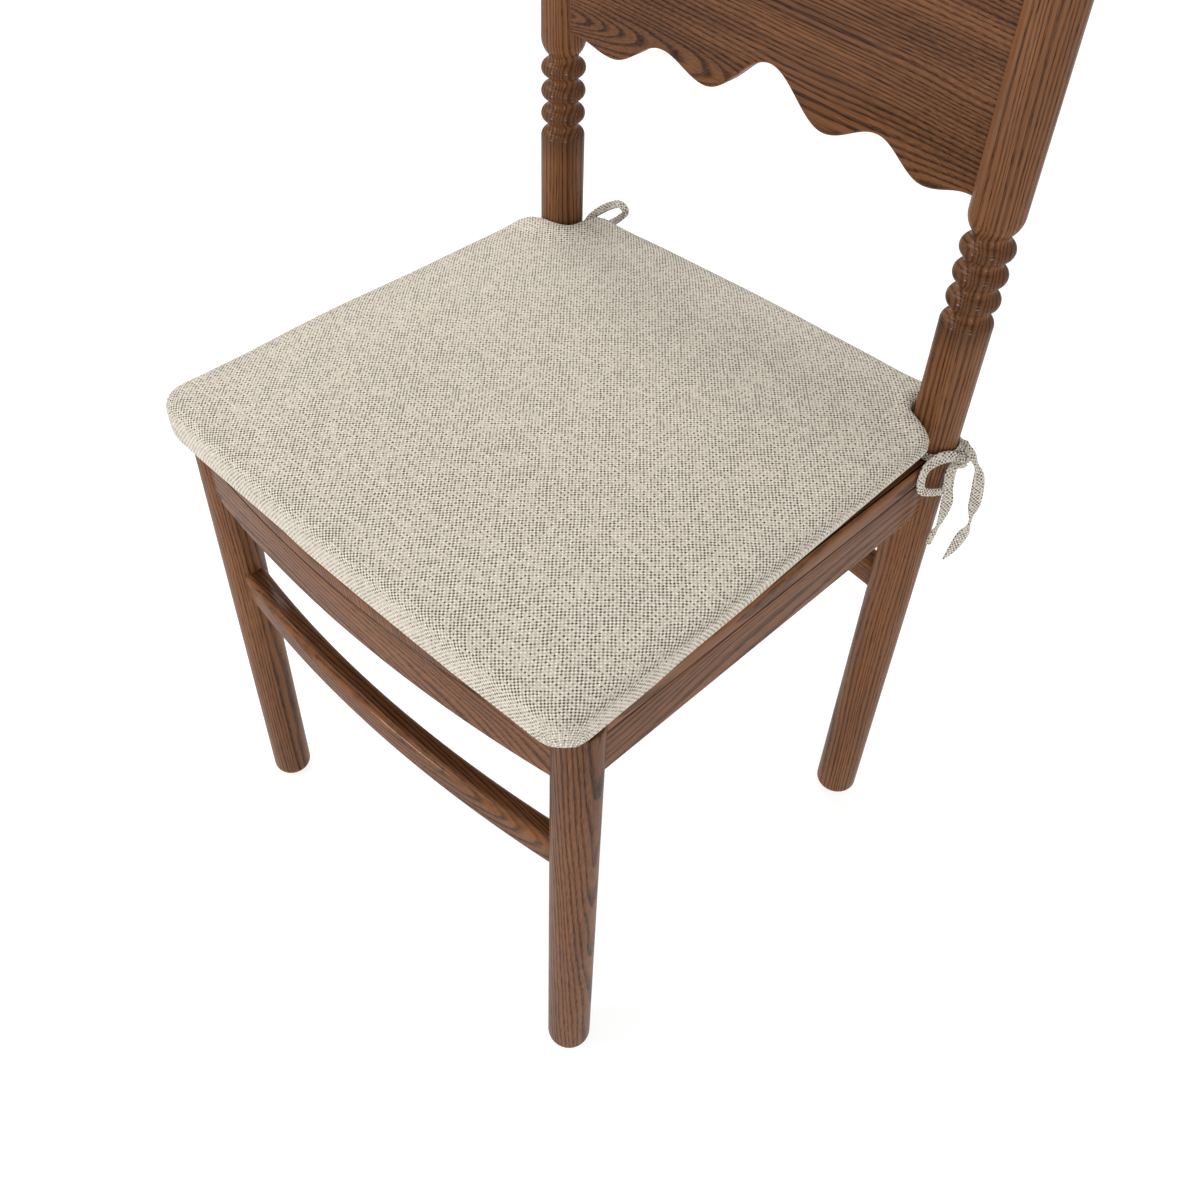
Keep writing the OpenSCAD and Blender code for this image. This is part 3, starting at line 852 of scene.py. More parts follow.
@dataclass
class Turning:
    """The half section of a turned post, drawn row by row from its foot to its top.

    radius is the post's where it is plain and on the crests of its beads, and core its radius at the
    bottom of the coves. bead is half the height from one cove to the next, and cove a cove's radius.
    Each row holds a radius, a height, and a mark: above 0 how rubbed it is, below 0 how much darker it is
    painted, as painted shade in coves and as stain with a painted dark reflection on crests.
    """

    radius: float
    core: float
    bead: float
    cove: float
    rows: list[tuple[float, float, float]] = field(default_factory=list)

    def __post_init__(self) -> None:
        """Works out the round of a bead that runs smoothly into the coves beside it."""
        deep = self.radius - self.core
        span = (self.bead**2 + deep**2) / (2 * deep)
        self.crest = span - self.cove
        self.open_angle = math.degrees(math.asin(self.bead / span))

    def add(self, points: Sequence[Point2], wear_and_shade: Callable[[float], float] = lambda share: 0.0) -> None:
        """Adds points, with a wear for each share of the way along them."""
        last = max(1, len(points) - 1)
        self.rows.extend((r, z, wear_and_shade(i / last)) for i, (r, z) in enumerate(points))

    def plain(self, start: float, end: float, steps: int) -> None:
        """Adds a straight stretch between two heights."""
        self.add([(self.radius, start + (end - start) * i / steps) for i in range(1, steps)])

    def hollow(self, height: float, below: float, above: float) -> None:
        """Adds a cove, between the angles at which it leaves the rounds below and above it."""
        points = arc((self.core + self.cove, height), self.cove, 180 + below, 180 - above, 14)
        # Darker towards the middle of the cove: painted shade in the recess.
        self.add(points[1:-1], lambda share: -0.2 + 0.2 * abs(2 * share - 1) ** 2)

    def convex(self, height: float, start: float, end: float) -> None:
        """Adds the round of a bead between two angles. Its crest is darker: the end grain took the stain
        darker, and a painted dark reflection is added there.
        """
        points = arc((self.radius - self.crest, height), self.crest, start, end, 16)
        way = (end - start) / self.open_angle
        first = start / self.open_angle
        self.add(points, lambda share: -0.8 * max(0.0, 1 - (first + way * share) ** 2))

    def shoulder(self, neck: float, round_radius: float) -> float:
        """Adds the cove over the topmost bead and the long round that leaves it.

        Args:
            neck: the height of the cove.
            round_radius: the radius of the long round.

        Returns:
            The height at which the post is plain again.
        """
        reach = round_radius + self.cove
        rise = math.sqrt(reach**2 - (self.core + self.cove - self.radius + round_radius) ** 2)
        angle = math.degrees(math.asin(rise / reach))
        self.hollow(neck, self.open_angle, angle)
        self.add(arc((self.radius - round_radius, neck + rise), round_radius, -angle, 0, 12))
        return neck + rise


@dataclass
class RearPost:
    """A rear post, turned in one piece: plain, three beads, plain, one bead and a button."""

    side: Side
    grain: Grain
    foot_round: float = 9 * MM
    bead_pitch: float = 20 * MM
    bead_count: int = 3
    first_neck: float = 576 * MM
    core_radius: float = 13 * MM
    cove_radius: float = 4.2 * MM
    shoulder_radius: float = 20 * MM
    button_radius: float = 16 * MM

    def profile(self, node: str) -> list[tuple[float, float, float]]:
        """The post's half section, as rows of radius, height and wear."""
        low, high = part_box(node)
        bead = self.bead_pitch / 2
        cut = Turning(radius_of(node), self.core_radius, bead, self.cove_radius)
        wide = cut.open_angle
        cut.add([(0, low.z)])
        foot = (cut.radius - self.foot_round, low.z + self.foot_round)
        cut.add(arc(foot, self.foot_round, -90, 0, 12), lambda share: 0.4 * math.sin(math.pi * share))
        cut.plain(low.z + self.foot_round, self.first_neck - bead, 26)
        cut.convex(self.first_neck - bead, 0, wide)
        for i in range(self.bead_count):
            neck = self.first_neck + i * self.bead_pitch
            cut.hollow(neck, wide, wide)
            cut.convex(neck + bead, -wide, wide)
        plain = cut.shoulder(self.first_neck + self.bead_count * self.bead_pitch, self.shoulder_radius)
        button = high.z - self.button_radius
        top_bead = button - bead
        cut.plain(plain, top_bead - 2 * bead, 14)
        cut.convex(top_bead - 2 * bead, 0, wide)
        cut.hollow(top_bead - bead, wide, wide)
        cut.convex(top_bead, -wide, 84)
        # The narrow neck under the button is darkened: painted shade in the recess.
        cut.add([(self.core_radius, top_bead + cut.crest), (self.core_radius, button)], lambda share: -0.9)
        cut.add([(self.button_radius - 0.6 * MM, button)])
        cut.add(arc((0, button), self.button_radius, 2.5, 88, 20), lambda share: 0.5 * share)
        cut.add([(0, high.z)], lambda share: 0.4)
        return cut.rows

    def build(self, finishes: Finishes) -> None:
        """Makes the post."""
        node = f"rear_post_{self.side.word}"
        rows = self.profile(node)
        solid = lathe([row[:2] for row in rows], [row[2] for row in rows], axis_of(node), turns=144)
        piece = solid.build(node + "_turned", 42)
        self.grain.mark(piece)
        settle(piece, "stained_wood", finishes, node)


@dataclass
class Bar:
    """A straight bar, coped to a round upright at each of its ends."""

    node: str
    uprights: tuple[str, str]
    grain: Grain
    run: Run = Run.ACROSS
    low_round: float = 1.6 * MM
    high_round: float = 1.6 * MM
    # Below 0 the upper edges are darkened: painted shade where the seat board closes over them.
    top_wear_and_shade: float = -1.0
    flats: int = 4
    stations: int = 48

    def span_across(self) -> Point2:
        """The bar's two faces, as places across it."""
        low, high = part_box(self.node)
        across = 1 - self.run.value
        return low[across], high[across]

    def thickness(self) -> float:
        """The bar's thickness."""
        near, far = self.span_across()
        return far - near

    def edges(self, place: np.ndarray) -> tuple[np.ndarray, np.ndarray]:
        """The heights of the lower and the upper edge at places along the bar."""
        low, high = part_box(self.node)
        return np.full(place.shape, low.z), np.full(place.shape, high.z)

    def line(self, offset: np.ndarray, place: np.ndarray) -> np.ndarray:
        """The place across the bar at an offset from its middle, at places along it."""
        return sum(self.span_across()) / 2 + offset + 0 * place

    def build(self, finishes: Finishes) -> None:
        """Makes the bar."""
        rounds = (self.low_round, self.high_round)
        section = Section.rounded(self.thickness(), *rounds, self.top_wear_and_shade, self.flats)
        ends = (Upright.of(self.uprights[0]), Upright.of(self.uprights[1]))
        solid = coped_bar(section, self.edges, self.line, ends, self.run, self.stations)
        piece = solid.build(self.node + "_shaped")
        self.grain.mark(piece)
        settle(piece, "stained_wood", finishes, self.node)


@dataclass
class Bow(Bar):
    """A bar across the chair on a bow of large radius, which stands proud to the front or the rear."""

    facing: int = -1
    thick: float = 22 * MM
    bow_radius: float = 1200 * MM

    def thickness(self) -> float:
        """The bar's thickness, which its bow hides in the CAD node's box."""
        return self.thick

    def line(self, offset: np.ndarray, place: np.ndarray) -> np.ndarray:
        """Where along y the bar is, at an offset outwards and a place across the chair."""
        outer = self.span_across()[self.facing > 0]
        centre = outer - self.facing * (self.thick / 2 + self.bow_radius)
        return centre + self.facing * np.sqrt((self.bow_radius + offset) ** 2 - place**2)


@dataclass
class BackPanel(Bow):
    """The bowed back panel, with the same scallops along its lower and its upper edge."""

    flats: int = 10
    stations: int = 180
    # From the middle outwards: how far out, and how far above and below the panel's middle, in millimetres.
    scallop: tuple[Point2, ...] = ((0, 64), (57, 98), (104, 82), (149, 102), (190, 92))

    def edges(self, place: np.ndarray) -> tuple[np.ndarray, np.ndarray]:
        """The heights of the scalloped lower and upper edge along the panel."""
        low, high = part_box(self.node)
        middle = (low.z + high.z) / 2
        out = np.clip(np.abs(place), 0, self.scallop[-1][0] * MM)
        drop = np.zeros(place.shape)
        for (x0, d0), (x1, d1) in zip(self.scallop, self.scallop[1:]):
            share = np.clip((out - x0 * MM) / ((x1 - x0) * MM), 0, 1)
            value = (d0 + (d1 - d0) * (1 - np.cos(np.pi * share)) / 2) * MM
            drop = np.where(out >= x0 * MM, value, drop)
        return middle - drop, middle + drop


@dataclass
class SeatBoard:
    """The board on the rails, notched round the legs and posts, with a rounded top edge."""

    grain: Grain
    leg_gap: float = 0.4 * MM
    post_gap: float = 0.6 * MM
    bow_radius: float = 1200 * MM
    low_round: float = 1.2 * MM
    high_round: float = 4.5 * MM
    notch_share: float = 0.2

    def front_edge(self, x: float) -> float:
        """The bowed front edge's y at a distance from the middle."""
        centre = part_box("seat_board")[0].y + self.bow_radius
        return centre - math.sqrt(self.bow_radius**2 - x * x)

    def outline(self) -> tuple[np.ndarray, np.ndarray]:
        """The board's outline seen from above, and how much of the edge rounding each point takes."""
        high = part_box("seat_board")[1]
        leg = Upright.of("front_leg_right")
        post = Upright.of("rear_post_right")
        notch, rear_notch = leg.radius + self.leg_gap, post.radius + self.post_gap
        meet = leg.x - 10 * MM
        for _ in range(12):
            meet = leg.x - math.sqrt(max(0.0, notch**2 - (self.front_edge(meet) - leg.y) ** 2))
        half = [(meet * i / 40, self.front_edge(meet * i / 40), 1.0) for i in range(41)]
        side = high.x - leg.x
        start = math.degrees(math.atan2(self.front_edge(meet) - leg.y, meet - leg.x)) % 360
        end = math.degrees(math.atan2(math.sqrt(notch**2 - side**2), side))
        half += [(x, y, self.notch_share) for x, y in arc((leg.x, leg.y), notch, start, end, 14)[1:-1]]
        y0 = leg.y + math.sqrt(notch**2 - side**2)
        y1 = post.y - math.sqrt(rear_notch**2 - side**2)
        half += [(high.x, y0 + (y1 - y0) * i / 40, 1.0) for i in range(41)]
        rear = high.y - post.y
        x1 = post.x - math.sqrt(rear_notch**2 - rear**2)
        start = math.degrees(math.atan2(y1 - post.y, side))
        end = math.degrees(math.atan2(rear, x1 - post.x)) - 360
        half += [(x, y, self.notch_share) for x, y in arc((post.x, post.y), rear_notch, start, end, 14)[1:-1]]
        half += [(x1 * (1 - i / 30), high.y, 1.0) for i in range(31)]
        mirrored = [(-x, y, share) for x, y, share in half[1:-1]][::-1]
        rows = np.array(half + mirrored)
        return rows[:, :2], rows[:, 2]

    def build(self, finishes: Finishes) -> None:
        """Makes the board."""
        low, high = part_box("seat_board")
        loop, take = self.outline()
        layers: list[tuple[np.ndarray, float, float]] = []
        for angle in np.radians(np.linspace(0, 90, 5)):
            inset, rise = self.low_round * (1 - math.sin(angle)), self.low_round * (1 - math.cos(angle))
            # The lower round is darkened towards its bottom edge: painted shade in the joint where the board
            # sits on the rails.
            layers.append((take * inset, low.z + rise, -0.8 * math.cos(angle)))
        for angle in np.radians(np.linspace(0, 90, 9)):
            inset, drop = self.high_round * (1 - math.cos(angle)), self.high_round * (1 - math.sin(angle))
            layers.append((take * inset, high.z - drop, math.sin(2 * angle)))
        piece = layered(loop, layers).build("seat_board_shaped")
        self.grain.mark(piece)
        settle(piece, "stained_wood", finishes, "seat_board")


@dataclass
class WoodenFrame:
    """All the stained wood of the chair."""

    rail_thick: float = 22 * MM
    stretcher_thick: float = 21 * MM
    stretcher_round: float = 7 * MM
    panel_thick: float = 18 * MM
    panel_round: float = 2.5 * MM

    def pieces(self) -> list[FrontLeg | RearPost | Bar | SeatBoard]:
        """The pieces, with the way that each was cut from its log."""
        front = ("front_leg_left", "front_leg_right")
        rear = ("rear_post_left", "rear_post_right")
        soft = {"low_round": self.stretcher_round, "high_round": self.stretcher_round, "top_wear_and_shade": 1.0}
        crisp = {"low_round": self.panel_round, "high_round": self.panel_round, "top_wear_and_shade": 1.0}
        stretcher = {"thick": self.stretcher_thick, **soft}
        pieces = [
            FrontLeg(Side.LEFT, Grain(2, (0.034, 0.030), (0.016, -0.010), 0.9, 0.0)),
            FrontLeg(Side.RIGHT, Grain(2, (0.044, 0.016), (0.050, -0.030), 0.2, 0.05)),
            RearPost(Side.LEFT, Grain(2, (0.052, 0.040), (0.006, 0.012), 1.7, -0.06)),
            RearPost(Side.RIGHT, Grain(2, (0.050, 0.054), (0.010, 0.008), 2.6, -0.1)),
            Bow("front_rail", front, Grain(0, (0.060, 0.030), (0.05, 0.02), 3.1), thick=self.rail_thick),
            Bow("front_stretcher", front, Grain(0, (0.040, -0.020), (0.03, 0.02), 4.2), **stretcher),
            Bow("rear_stretcher", rear, Grain(0, (0.020, -0.050), (0.02, 0.01), 5.5), facing=1, **stretcher),
            BackPanel(
                "back_panel", rear, Grain(0, (0.026, 0.090), (0.04, 0.07), 6.1, 0.12),
                facing=1, thick=self.panel_thick, **crisp,
            ),
            Bar("rear_rail", rear, Grain(0, (0.060, -0.030), (0.01, 0.02), 7.4)),
        ]
        for side, shift in ((Side.LEFT, 8.3), (Side.RIGHT, 9.6)):
            ends = (f"front_leg_{side.word}", f"rear_post_{side.word}")
            grain = Grain(1, (0.030, 0.060), (0.02, -0.03), shift)
            pieces.append(Bar(f"side_rail_{side.word}", ends, grain, Run.FRONT_TO_BACK))
        return [*pieces, SeatBoard(Grain(1, (0.050, 0.280), (0.01, 0.02), 10.8))]

    def build(self, finishes: Finishes) -> None:
        """Makes the legs, posts, rails, stretchers, back panel and seat board."""
        for piece in self.pieces():
            piece.build(finishes)


# ---------------------------------------------------------------- the seat pad


def rounded_loop(corners: Sequence[tuple[float, float, float]], step: float) -> np.ndarray:
    """A closed loop through corners that are each rounded with an arc.

    Args:
        corners: (x, y, radius) of each corner, anticlockwise. A corner that turns inwards works too.
        step: about how far apart the loop's points are.

    Returns:
        The points as rows of x, y.
    """
    rows: list[np.ndarray] = []
    count = len(corners)
    for i, (x, y, radius) in enumerate(corners):
        here = np.array([x, y])
        back = np.array(corners[i - 1][:2]) - here
        ahead = np.array(corners[(i + 1) % count][:2]) - here
        back, ahead = back / np.linalg.norm(back), ahead / np.linalg.norm(ahead)
        half = math.acos(float(np.clip(back @ ahead, -1, 1))) / 2
        middle = here + (back + ahead) / np.linalg.norm(back + ahead) * radius / math.sin(half)
        first = here + back * radius / math.tan(half)
        last = here + ahead * radius / math.tan(half)
        a0, a1 = (math.atan2(*(p - middle)[::-1]) for p in (first, last))
        turn = (a1 - a0 + math.pi) % (2 * math.pi) - math.pi
        angles = a0 + turn * np.linspace(0, 1, max(3, round(abs(turn) * radius / step)) + 1)
        rows += list(middle + radius * np.column_stack([np.cos(angles), np.sin(angles)]))
    loop = np.array(rows)
    gaps = np.linalg.norm(np.roll(loop, -1, axis=0) - loop, axis=1)
    length = np.concatenate([[0], np.cumsum(gaps)])
    closed = np.vstack([loop, loop[:1]])
    wanted = np.linspace(0, length[-1], round(length[-1] / step), endpoint=False)
    return np.column_stack([np.interp(wanted, length, closed[:, k]) for k in range(2)])


@dataclass
class SeatPad:
    """The seat pad: a cloth cover over foam, crowned on top and flat where it lies on the board."""

    thick: float = 32 * MM
    crown: float = 3.5 * MM
    top_round: float = 7 * MM
    low_round: float = 3 * MM
    edge_band: float = 9 * MM
    voxel: float = 4 * MM
    most_swell: float = 5 * MM
    pressure: float = 4.0
    last_frame: int = 20
    # How far each post pushes the top of the pad up beside it.
    post_lift: dict[Side, float] = field(default_factory=lambda: {Side.LEFT: 8 * MM, Side.RIGHT: 4 * MM})
    # Corners seen from above, in millimetres, with the radius of each.
    corners: tuple[tuple[float, float, float], ...] = (
        (-239, -228, 28), (0, -234, 4000), (230, -232, 25), (225, 168, 18), (189, 186, 5), (187, 226, 9),
        (80, 233, 1500), (-80, 235.5, 1500), (-187, 231, 13), (-188.5, 186, 5), (-239.5, 178, 18),
        (-243, -40, 3000),
    )

    def start(self) -> tuple[Solid, np.ndarray]:
        """The pad before it swells, and its outline."""
        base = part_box("pad_base_cloth")[0].z
        loop = rounded_loop([(x * MM, y * MM, r * MM) for x, y, r in self.corners], 4 * MM)
        lean = self.lean_of(loop)
        crisp = 1 - 0.6 * (self.near_post(loop, Side.LEFT, 8 * MM) + self.near_post(loop, Side.RIGHT, 8 * MM))
        layers: list[tuple[np.ndarray, float, float]] = []
        for angle in np.radians(np.linspace(0, 90, 5)):
            inset, rise = self.low_round * (1 - math.sin(angle)), self.low_round * (1 - math.cos(angle))
            layers.append((lean + inset, base + rise, 0.0))
        wall = self.thick - self.low_round - self.top_round
        for share in (0.2, 0.4, 0.6, 0.8):
            layers.append((lean * (1 - share), base + self.low_round + wall * share, 0.0))
        for angle in np.radians(np.linspace(0, 90, 7)):
            inset, drop = self.top_round * (1 - math.cos(angle)), self.top_round * (1 - math.sin(angle))
            layers.append((crisp * inset, base + self.thick - drop, 0.0))
        return layered(loop, layers), loop

    @staticmethod
    def near_post(points: np.ndarray, side: Side, fade: float) -> np.ndarray:
        """How near points are to a rear post, from 1 at its surface down to 0 a few fades away."""
        post = Upright.of(f"rear_post_{side.word}")
        gap = np.linalg.norm(points[:, :2] - (post.x, post.y), axis=1) - post.radius
        return np.exp(-((np.clip(gap, 0, None) / fade) ** 2))

    def lean_of(self, loop: np.ndarray) -> np.ndarray:
        """How far the foot of the pad's wall is drawn in, which is most at the right-hand rear."""
        right = np.clip((loop[:, 0] - 0.20) / 0.02, 0, 1)
        rearward = np.clip((loop[:, 1] + 0.20) / 0.36, 0, 1)
        return 0.5 * MM + right * (2.5 * MM + 9 * MM * rearward)

    @staticmethod
    def reach(points: np.ndarray, loop: np.ndarray) -> tuple[np.ndarray, np.ndarray]:
        """How far inside the outline each point is, and the outline's outward normal next to it."""
        normal = outward_normals(loop)
        nearest = np.zeros(len(points), int)
        for start in range(0, len(points), 4000):
            gap = points[start:start + 4000, None, :2] - loop[None]
            nearest[start:start + 4000] = (gap**2).sum(axis=2).argmin(axis=1)
        away = normal[nearest]
        return -((points[:, :2] - loop[nearest]) * away).sum(axis=1), away

    def swell(self, piece: bpy.types.Object, loop: np.ndarray) -> None:
        """Remeshes the pad and lets pressure round its cloth, with its base and top edge held."""
        remesh = piece.modifiers.new("even_cloth", "REMESH")
        remesh.mode, remesh.voxel_size, remesh.use_smooth_shade = "VOXEL", self.voxel, True
        self.bake(piece)
        start = points_of(piece.data)
        base = start[:, 2].min()
        self.crown_top(start)
        held = piece.vertex_groups.new(name="held")
        inside = self.reach(start, loop)[0]
        edge = (inside < self.edge_band) & (start[:, 2] > base + self.thick - self.edge_band)
        held.add([int(i) for i in np.flatnonzero((start[:, 2] < base + 2 * MM) | edge)], 1.0, "REPLACE")
        piece.data.vertices.foreach_set("co", start.ravel())
        cloth = piece.modifiers.new("cover", "CLOTH")
        settings = cloth.settings
        settings.quality, settings.mass = 4, 0.25
        settings.use_pressure, settings.uniform_pressure_force = True, self.pressure
        settings.effector_weights.gravity = 0
        settings.vertex_group_mass = "held"
        settings.tension_stiffness = settings.compression_stiffness = 25
        settings.bending_stiffness = 2
        scene = bpy.context.scene
        for number in range(1, self.last_frame + 1):
            scene.frame_set(number)
        self.bake(piece)
        moved = points_of(piece.data) - start
        far = np.linalg.norm(moved, axis=1, keepdims=True)
        moved *= np.minimum(1, self.most_swell * np.tanh(far / self.most_swell) / np.maximum(far, 1e-9))
        piece.data.vertices.foreach_set("co", (start + moved).ravel())
        smooth = piece.modifiers.new("fine_cloth", "SUBSURF")
        smooth.levels = smooth.render_levels = 1
        self.bake(piece)

    def crown_top(self, points: np.ndarray) -> None:
        """Raises the upper side towards the middle, and adds slow unevenness of the filling."""
        share = np.clip((points[:, 2] - points[:, 2].min()) / self.thick, 0, 1) ** 3
        reach = np.minimum(0.235 - np.abs(points[:, 0]), 0.232 - np.abs(points[:, 1]))
        bulge = np.sin(np.clip(reach / 0.14, 0, 1) * math.pi / 2)
        waves = np.sin(points[:, 0] * 41 + 1.3) * np.sin(points[:, 1] * 37 + 0.4)
        pushed = [lift * self.near_post(points, side, 24 * MM) for side, lift in self.post_lift.items()]
        points[:, 2] += share * (self.crown * bulge + 0.7 * MM * waves + sum(pushed))

    @staticmethod
    def bake(piece: bpy.types.Object) -> None:
        """Replaces a piece's mesh by what its modifiers make of it."""
        shown = piece.evaluated_get(bpy.context.evaluated_depsgraph_get())
        mesh = bpy.data.meshes.new_from_object(shown)
        piece.modifiers.clear()
        piece.data = mesh

    def clear(self, piece: bpy.types.Object) -> None:
        """Keeps the pad on top of the board and off the posts."""
        points = points_of(piece.data)
        points[:, 2] = np.maximum(points[:, 2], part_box("pad_base_cloth")[0].z)
        for side in Side:
            post = Upright.of(f"rear_post_{side.word}")
            away = points[:, :2] - (post.x, post.y)
            far = np.linalg.norm(away, axis=1)
            least = post.radius + 0.5 * MM
            close = far < least
            points[close, :2] = (post.x, post.y) + away[close] / far[close, None] * least
        piece.data.vertices.foreach_set("co", points.ravel())

    def lay_cloth(self, piece: bpy.types.Object, loop: np.ndarray) -> None:
        """Stores where each point is on the flat cloth, which runs over the edge and down the wall."""
        points = points_of(piece.data)
        inside, away = self.reach(points, loop)
        edge = np.clip((24 * MM - inside) / (14 * MM), 0, 1)
        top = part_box("pad_base_cloth")[0].z + self.thick
        drop = np.clip(top + self.crown * 0.5 - points[:, 2], 0, None) * edge
        flat = points[:, :2] + away * drop[:, None]
        mark(piece.data, "weave", np.column_stack([flat, np.zeros(len(points))]))
        height = (points[:, 2] - (top - self.thick)) / self.thick
        outer = np.clip((6 * MM - inside) / (5 * MM), 0, 1)
        mark(piece.data, "side", outer * np.clip((0.95 - height) / 0.2, 0, 1))
        stretched = 0.5 * np.clip((points[:, 0] - points[:, 1]) / 0.5, 0, 1) ** 2
        folded = np.exp(-(((inside - 7 * MM) / (5 * MM)) ** 2)) * (height > 0.6)
        mark(piece.data, "fold", stretched + folded)

    def build(self, finishes: Finishes) -> None:
        """Makes the pad."""
        solid, loop = self.start()
        piece = solid.build("seat_pad", 180)
        self.swell(piece, loop)
        piece.name = piece.data.name = "seat_pad"
        self.clear(piece)
        piece.data.shade_smooth()
        self.lay_cloth(piece, loop)
        settle(piece, "melange_cloth", finishes, "pad_top_cover", "pad_base_cloth", "pad_foam")


# ---------------------------------------------------------------- the ties


@dataclass(frozen=True)
class Tape:
    """One run of tie tape.

    route is in millimetres from the post's axis at the seat board's top face. widths gives the
    tape's width in millimetres at each point of the route, and facing the way its flat side looks.
    """

    route: tuple[Point3, ...]
    widths: tuple[float, ...]
    facing: tuple[Point3, ...]

    def samples(self, step: float) -> tuple[np.ndarray, np.ndarray, np.ndarray]:
        """Smooth points, widths and facing directions along the route, in millimetres."""
        facing = self.facing if len(self.facing) == len(self.route) else self.facing[:1] * len(self.route)
        rows = np.column_stack([np.array(kind, float) for kind in (self.route, self.widths, facing)])
        padded = np.vstack([2 * rows[0] - rows[1], rows, 2 * rows[-1] - rows[-2]])
        made: list[np.ndarray] = []
        for i in range(1, len(padded) - 2):
            p0, p1, p2, p3 = padded[i - 1:i + 3]
            count = max(2, round(float(np.linalg.norm((p2 - p1)[:3])) / step))
            square, cube = 2 * p0 - 5 * p1 + 4 * p2 - p3, 3 * p1 - p0 - 3 * p2 + p3
            for t in np.arange(count) / count:
                made.append(p1 + 0.5 * ((p2 - p0) * t + square * t**2 + cube * t**3))
        made.append(rows[-1])
        found = np.array(made)
        return found[:, :3], np.maximum(found[:, 3], 0.4), found[:, 4:]

    def length(self) -> float:
        """The tape's length along its middle, in metres."""
        points = self.samples(1.5)[0]
        return float(np.linalg.norm(np.diff(points, axis=0), axis=1).sum()) * MM

    def solid(self, origin: np.ndarray, thick: float) -> tuple[Solid, np.ndarray]:
        """The tape as a closed solid, and where each of its points is on the flat tape."""
        points, widths, facing = self.samples(1.5)
        along = np.gradient(points, axis=0)
        along /= np.linalg.norm(along, axis=1, keepdims=True)
        wide = np.cross(along, facing)
        wide /= np.linalg.norm(wide, axis=1, keepdims=True)
        normal = np.cross(along, wide)
        turns = 14
        angles = 2 * math.pi * np.arange(turns) / turns
        c, s = np.cos(angles), np.sin(angles)
        out = np.sign(c) * np.abs(c) ** 0.7
        up = np.sign(s) * np.abs(s) ** 0.8 * (1 + 0.25 * np.abs(c) ** 3)
        ring = points[:, None] + wide[:, None] * (widths[:, None] / 2 * out)[..., None]
        ring = ring + normal[:, None] * (np.minimum(thick, widths)[:, None] / 2 * up)[..., None]
        count = len(points)
        far = np.concatenate([[0], np.cumsum(np.linalg.norm(np.diff(points, axis=0), axis=1))])
        place = np.stack([widths[:, None] / 2 * out, np.broadcast_to(far[:, None], (count, turns))], axis=2)
        caps = ring[[0, -1]].mean(axis=1)
        body = np.concatenate([ring.reshape(-1, 3), caps]) * MM + origin
        flat = np.concatenate([place.reshape(-1, 2), [[0, 0], [0, far[-1]]]]) * MM
        faces: list[Sequence[int]] = []
        for k in range(turns):
            j = (k + 1) % turns
            faces.append((count * turns, j, k))
            faces.append((count * turns + 1, (count - 1) * turns + k, (count - 1) * turns + j))
            rows = range(0, (count - 1) * turns, turns)
            faces += [(row + k, row + j, row + turns + j, row + turns + k) for row in rows]
        return Solid(body, faces, np.zeros(len(body))), np.column_stack([flat, np.zeros(len(flat))])


class TiePart(Enum):
    """The parts of one tie: the word in its node's name, and how its tape is held."""

    WRAP = ("wrap", "stretched")
    KNOT = ("knot", "gathered")
    LOOPS = ("loops", "hung")
    TAILS = ("tails", "hung")


